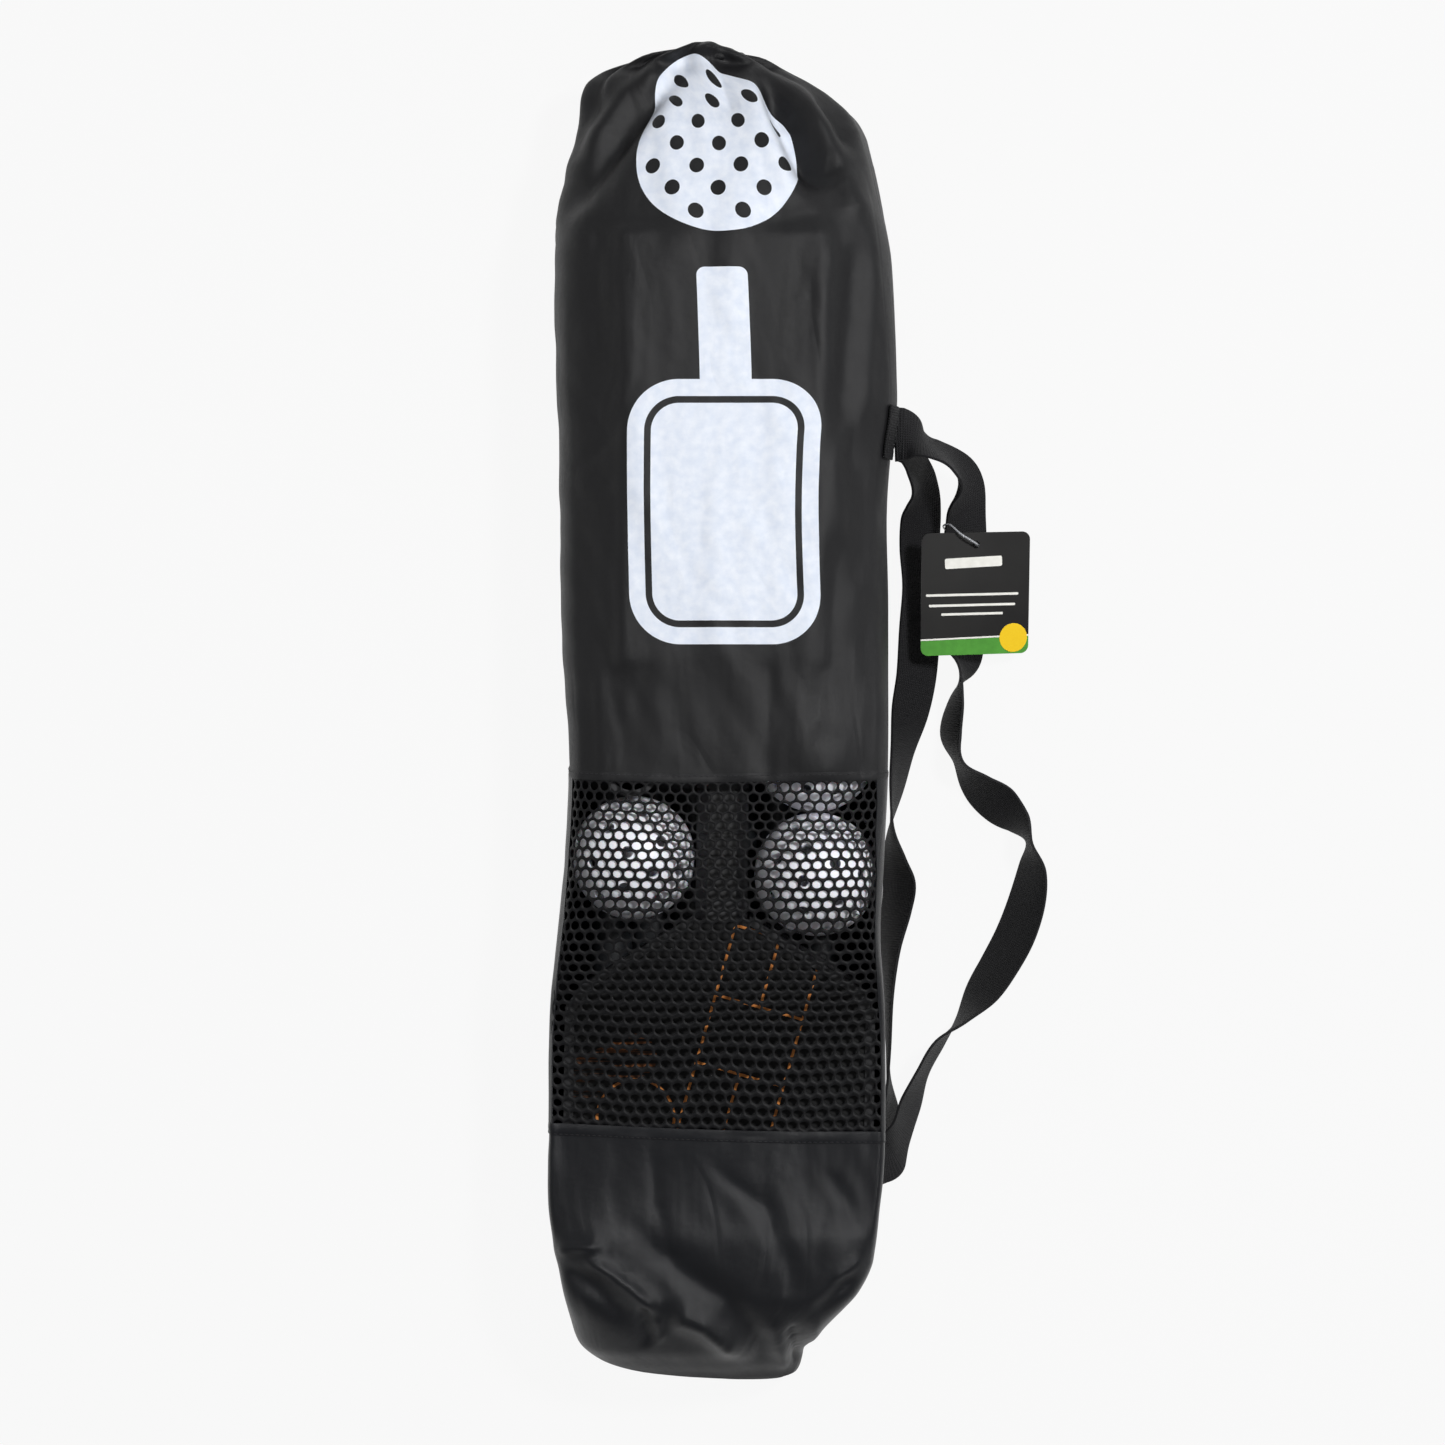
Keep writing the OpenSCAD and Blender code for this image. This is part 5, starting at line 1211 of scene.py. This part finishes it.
steel, *_ = grained("powder_coated_steel", "#232528", "#303337", (0.42, 0.54), 0.9, 0.06,
                    Metallic=0.0, Specular_IOR_Level=0.5)
moulded, *_ = grained("moulded_nylon", "#1b1b1d", "#27272a", (0.45, 0.58), 1.1, 0.05)
edge_pvc, *_ = grained("extruded_pvc", "#161618", "#222225", (0.34, 0.46), 1.2, 0.03)
rubber, *_ = grained("moulded_rubber", "#141415", "#1f1f21", (0.62, 0.75), 1.2, 0.08)
grip_tape, *_ = grained("perforated_polyurethane_tape", "#08080a", "#121214", (0.45, 0.58),
                        1.6, 0.25)
spring_steel, *_ = grained("rolled_spring_steel", "#85888d", "#a5a8ad", (0.28, 0.4), 0.8, 0.02,
                           Metallic=1.0)
nickel, *_ = grained("nickel_plated_brass", "#9a9891", "#b9b7b0", (0.2, 0.32), 0.8, 0.02,
                     Metallic=1.0)
vinyl, *_ = grained("printed_vinyl", "#efc40d", "#f6d321", (0.28, 0.36), 0.6, 0.01)
face = printed_face()
# What each material goes on: nodes whose names start like this.
KEPT = {
    steel: ["crossbar", "last_crossbar", "lower_upright", "upper_upright", "foot_tube"],
    moulded: ["corner_connector", "tube_end_plugs", "front_paddle_collar", "front_paddle_butt_cap",
              "rear_paddle_collar", "rear_paddle_butt_cap"],
    rubber: ["rubber_feet"],
    edge_pvc: ["front_paddle_edge_guard", "rear_paddle_edge_guard"],
    grip_tape: ["front_paddle_grip", "rear_paddle_grip"],
    face: ["front_paddle_blade", "rear_paddle_blade"],
    spring_steel: ["snap_button", "button_spring"],
    nickel: ["mouth_eyelet"],
    vinyl: ["tag_sticker"],
    printed_card(): ["tag_card"],
}
for material, starts in KEPT.items():
    for name, node in NODES.items():
        if name.startswith(tuple(starts)):
            node.data.materials.clear()
            node.data.materials.append(material)


# ---- Leaf springs under the snap buttons ----


def pressed_leaf(number):
    """The bent leaf under a snap button, copied from its node, with its meeting points merged."""
    node = NODES[f"button_spring_{number}"]
    leaf = bpy.data.objects.new(f"button_leaf_{number}", node.data.copy())
    bpy.context.collection.objects.link(leaf)
    close_round(leaf, 0.00001)
    settle(leaf, spring_steel, "bright_steel", "root", node.name)
    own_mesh(leaf)


for number in (1, 2, 3, 4):
    pressed_leaf(number)


# ---- Rolled net ----

# The roll's middle, its width and height, its turns, and the radius that its core leaves.
ROLL_X, ROLL_Z, ROLL_W, ROLL_H, ROLL_TURNS, ROLL_CORE_R = 4, 83.7, 158, 66, 4, 6


def round_roll(r, turn, node, rows):
    """Places round the flat roll, as long as a node, and how far along and round it they lie.

    Its section is two half rounds joined by straight runs.
    """
    low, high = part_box(node)
    side = np.where(np.cos(turn) >= 0, 1, -1) * (ROLL_W - ROLL_H) / 2
    x, z = ROLL_X + side + r * np.cos(turn), ROLL_Z + r * np.sin(turn)
    run, y = np.meshgrid(run_along(np.stack([x, z], axis=-1)),
                         np.linspace(low.y / MM, high.y / MM, rows), indexing="ij")
    return np.stack(np.broadcast_arrays(x[:, None], y, z[:, None]), axis=-1), y, run


def rolled(name, thick, material, slot, node):
    """A flat roll of cloth, a spiral with this much room for each turn."""
    turns = np.linspace(0.02, ROLL_TURNS - 0.5, 160)
    r = ROLL_H / 2 - thick / 2 - (ROLL_H / 2 - ROLL_CORE_R) / ROLL_TURNS * turns
    grid, y, run = round_roll(r, 2 * math.pi * turns, node, 25)
    grid[..., 2] += 0.4 * ripple(run, y, 20, 30, thick)
    sheet = cloth_grid(name, grid, np.stack([y, run], axis=-1))
    smooth(thicken(sheet, thick - 0.6, 0), 60)
    return settle(sheet, material, slot, "root", node)


def knotted_netting():
    """Knotted polyethylene twine: a grid of dull black cords painted lighter on top, a painted
    highlight, over turns beneath painted darker, a painted shade.
    """
    material, tree, shader = grained(
        "knotted_polyethylene_twine", "#0d0d0e", "#19191b", (0.55, 0.7), 1.0, 0.1)
    place = add_node(tree, "TexCoord").outputs["UV"]
    # A pickleball net has 45 mm squares; packed turns lie askew, so cords show every 15 mm.
    # The cords' paler colour is a painted highlight and the darker cells between them a painted
    # shade; all of it is the same black twine.
    cells = add_node(tree, "TexBrick", {
        "Scale": 1.0, "Mortar Size": 0.001, "Brick Width": 0.015, "Row Height": 0.015,
        "Color1": colour("#0b0b0c"), "Color2": colour("#101011"), "Mortar": colour("#2c2c2f"),
        "Vector": place}, offset=0.0)
    bump = add_node(tree, "Bump", {"Strength": 0.8, "Distance": 1.0 * MM, "Height": cells})
    feed(tree, shader, {"Base Color": cells.outputs["Color"], "Normal": bump})
    return material


rolled("net_bundle", 3.6, knotted_netting(), "net_cord", "net_roll")
tape_cloth, *_ = grained("vinyl_coated_tape", "#dcdcd6", "#ecece8", (0.4, 0.5), 1.2, 0.05)
rolled("head_tape_bundle", 4.2, tape_cloth, "head_tape", "net_head_tape")


def tie_band():
    """The hook-and-loop band round the rolled net."""
    grid, *_ = round_roll(ROLL_H / 2 + 0.7, np.linspace(0, 2 * math.pi, 97), "net_tie", 9)
    band = close_round(cloth_grid("tie_band", grid, grid[..., :2]))
    smooth(thicken(band, 1.0, 0), 60)
    return settle(band, webbing, "webbing", "root", "net_tie")


tie_band()


# ---- Floor, light and camera ----

# Each lamp's place and size in metres and its power in watts.
LAMPS = {"key": ((0.74, 0.48, 1.62), 0.24, 25), "fill": ((-0.9, 0.2, 1.8), 1.2, 4)}
SKY_STRENGTH = 0.25
# The boards look this near to white, and light the object as the grey that they are.
BOARD_GREY, BOARD_WHITE_SHARE = "#9a9a9a", 0.92
# The floor's width and the backdrop's radius and height, in metres.
FLOOR_WIDE, BACKDROP_R, BACKDROP_H = 40, 19.9, 5.2


def matt_white_board():
    """Matt painted board: seen nearly white, straight, in a gloss or through clear nylon."""
    material, tree, shader = new_material("matt_white_board", Roughness=0.9, Specular_IOR_Level=0.1)
    feed(tree, shader, {"Base Color": colour(BOARD_GREY)})
    ray = add_node(tree, "LightPath").outputs
    seen = any_of(tree, [ray["Is Camera Ray"], ray["Is Glossy Ray"], ray["Is Transmission Ray"]])
    share = add_node(tree, "Math", {0: seen, 1: BOARD_WHITE_SHARE}, operation="MULTIPLY")
    white = add_node(tree, "Emission", {"Color": (1, 1, 1, 1), "Strength": 1.0})
    blend = add_node(tree, "MixShader", {0: share, 1: shader, 2: white})
    feed(tree, tree.nodes["Material Output"], {"Surface": blend})
    return material


def studio():
    """A plain pale floor and far backdrop under two soft lamps and an even sky."""
    board = matt_white_board()
    for stage in (
            add_object("floor", bpy.ops.mesh.primitive_plane_add, size=FLOOR_WIDE,
                       location=(0, 0, -0.0002)),
            add_object("backdrop", bpy.ops.mesh.primitive_cylinder_add, vertices=96,
                       radius=BACKDROP_R, depth=BACKDROP_H, end_fill_type="NOTHING",
                       location=(0, 0, BACKDROP_H / 2))):
        stage.data.materials.append(board)

    world = bpy.data.worlds.new("studio")
    world.use_nodes = True
    feed(world.node_tree, world.node_tree.nodes["Background"],
         {"Color": (1, 1, 1, 1), "Strength": SKY_STRENGTH})
    bpy.context.scene.world = world

    for name, (at, size, power) in LAMPS.items():
        lamp = add_object(name, bpy.ops.object.light_add, type="AREA", location=at)
        lamp.data.size, lamp.data.energy = size, power
        lamp.rotation_euler = (-Vector(at)).to_track_quat("-Z", "Y").to_euler()

    camera = add_object("camera", bpy.ops.object.camera_add,
                        location=(CAMERA_X * MM, 0, CAMERA_H * MM))
    camera.data.sensor_width = SENSOR_W
    camera.data.lens = SENSOR_W * (CAMERA_H - BALL_MID_Z) / VIEW_W
    bpy.context.scene.camera = camera
    bpy.context.scene.view_settings.view_transform = "Standard"


studio()
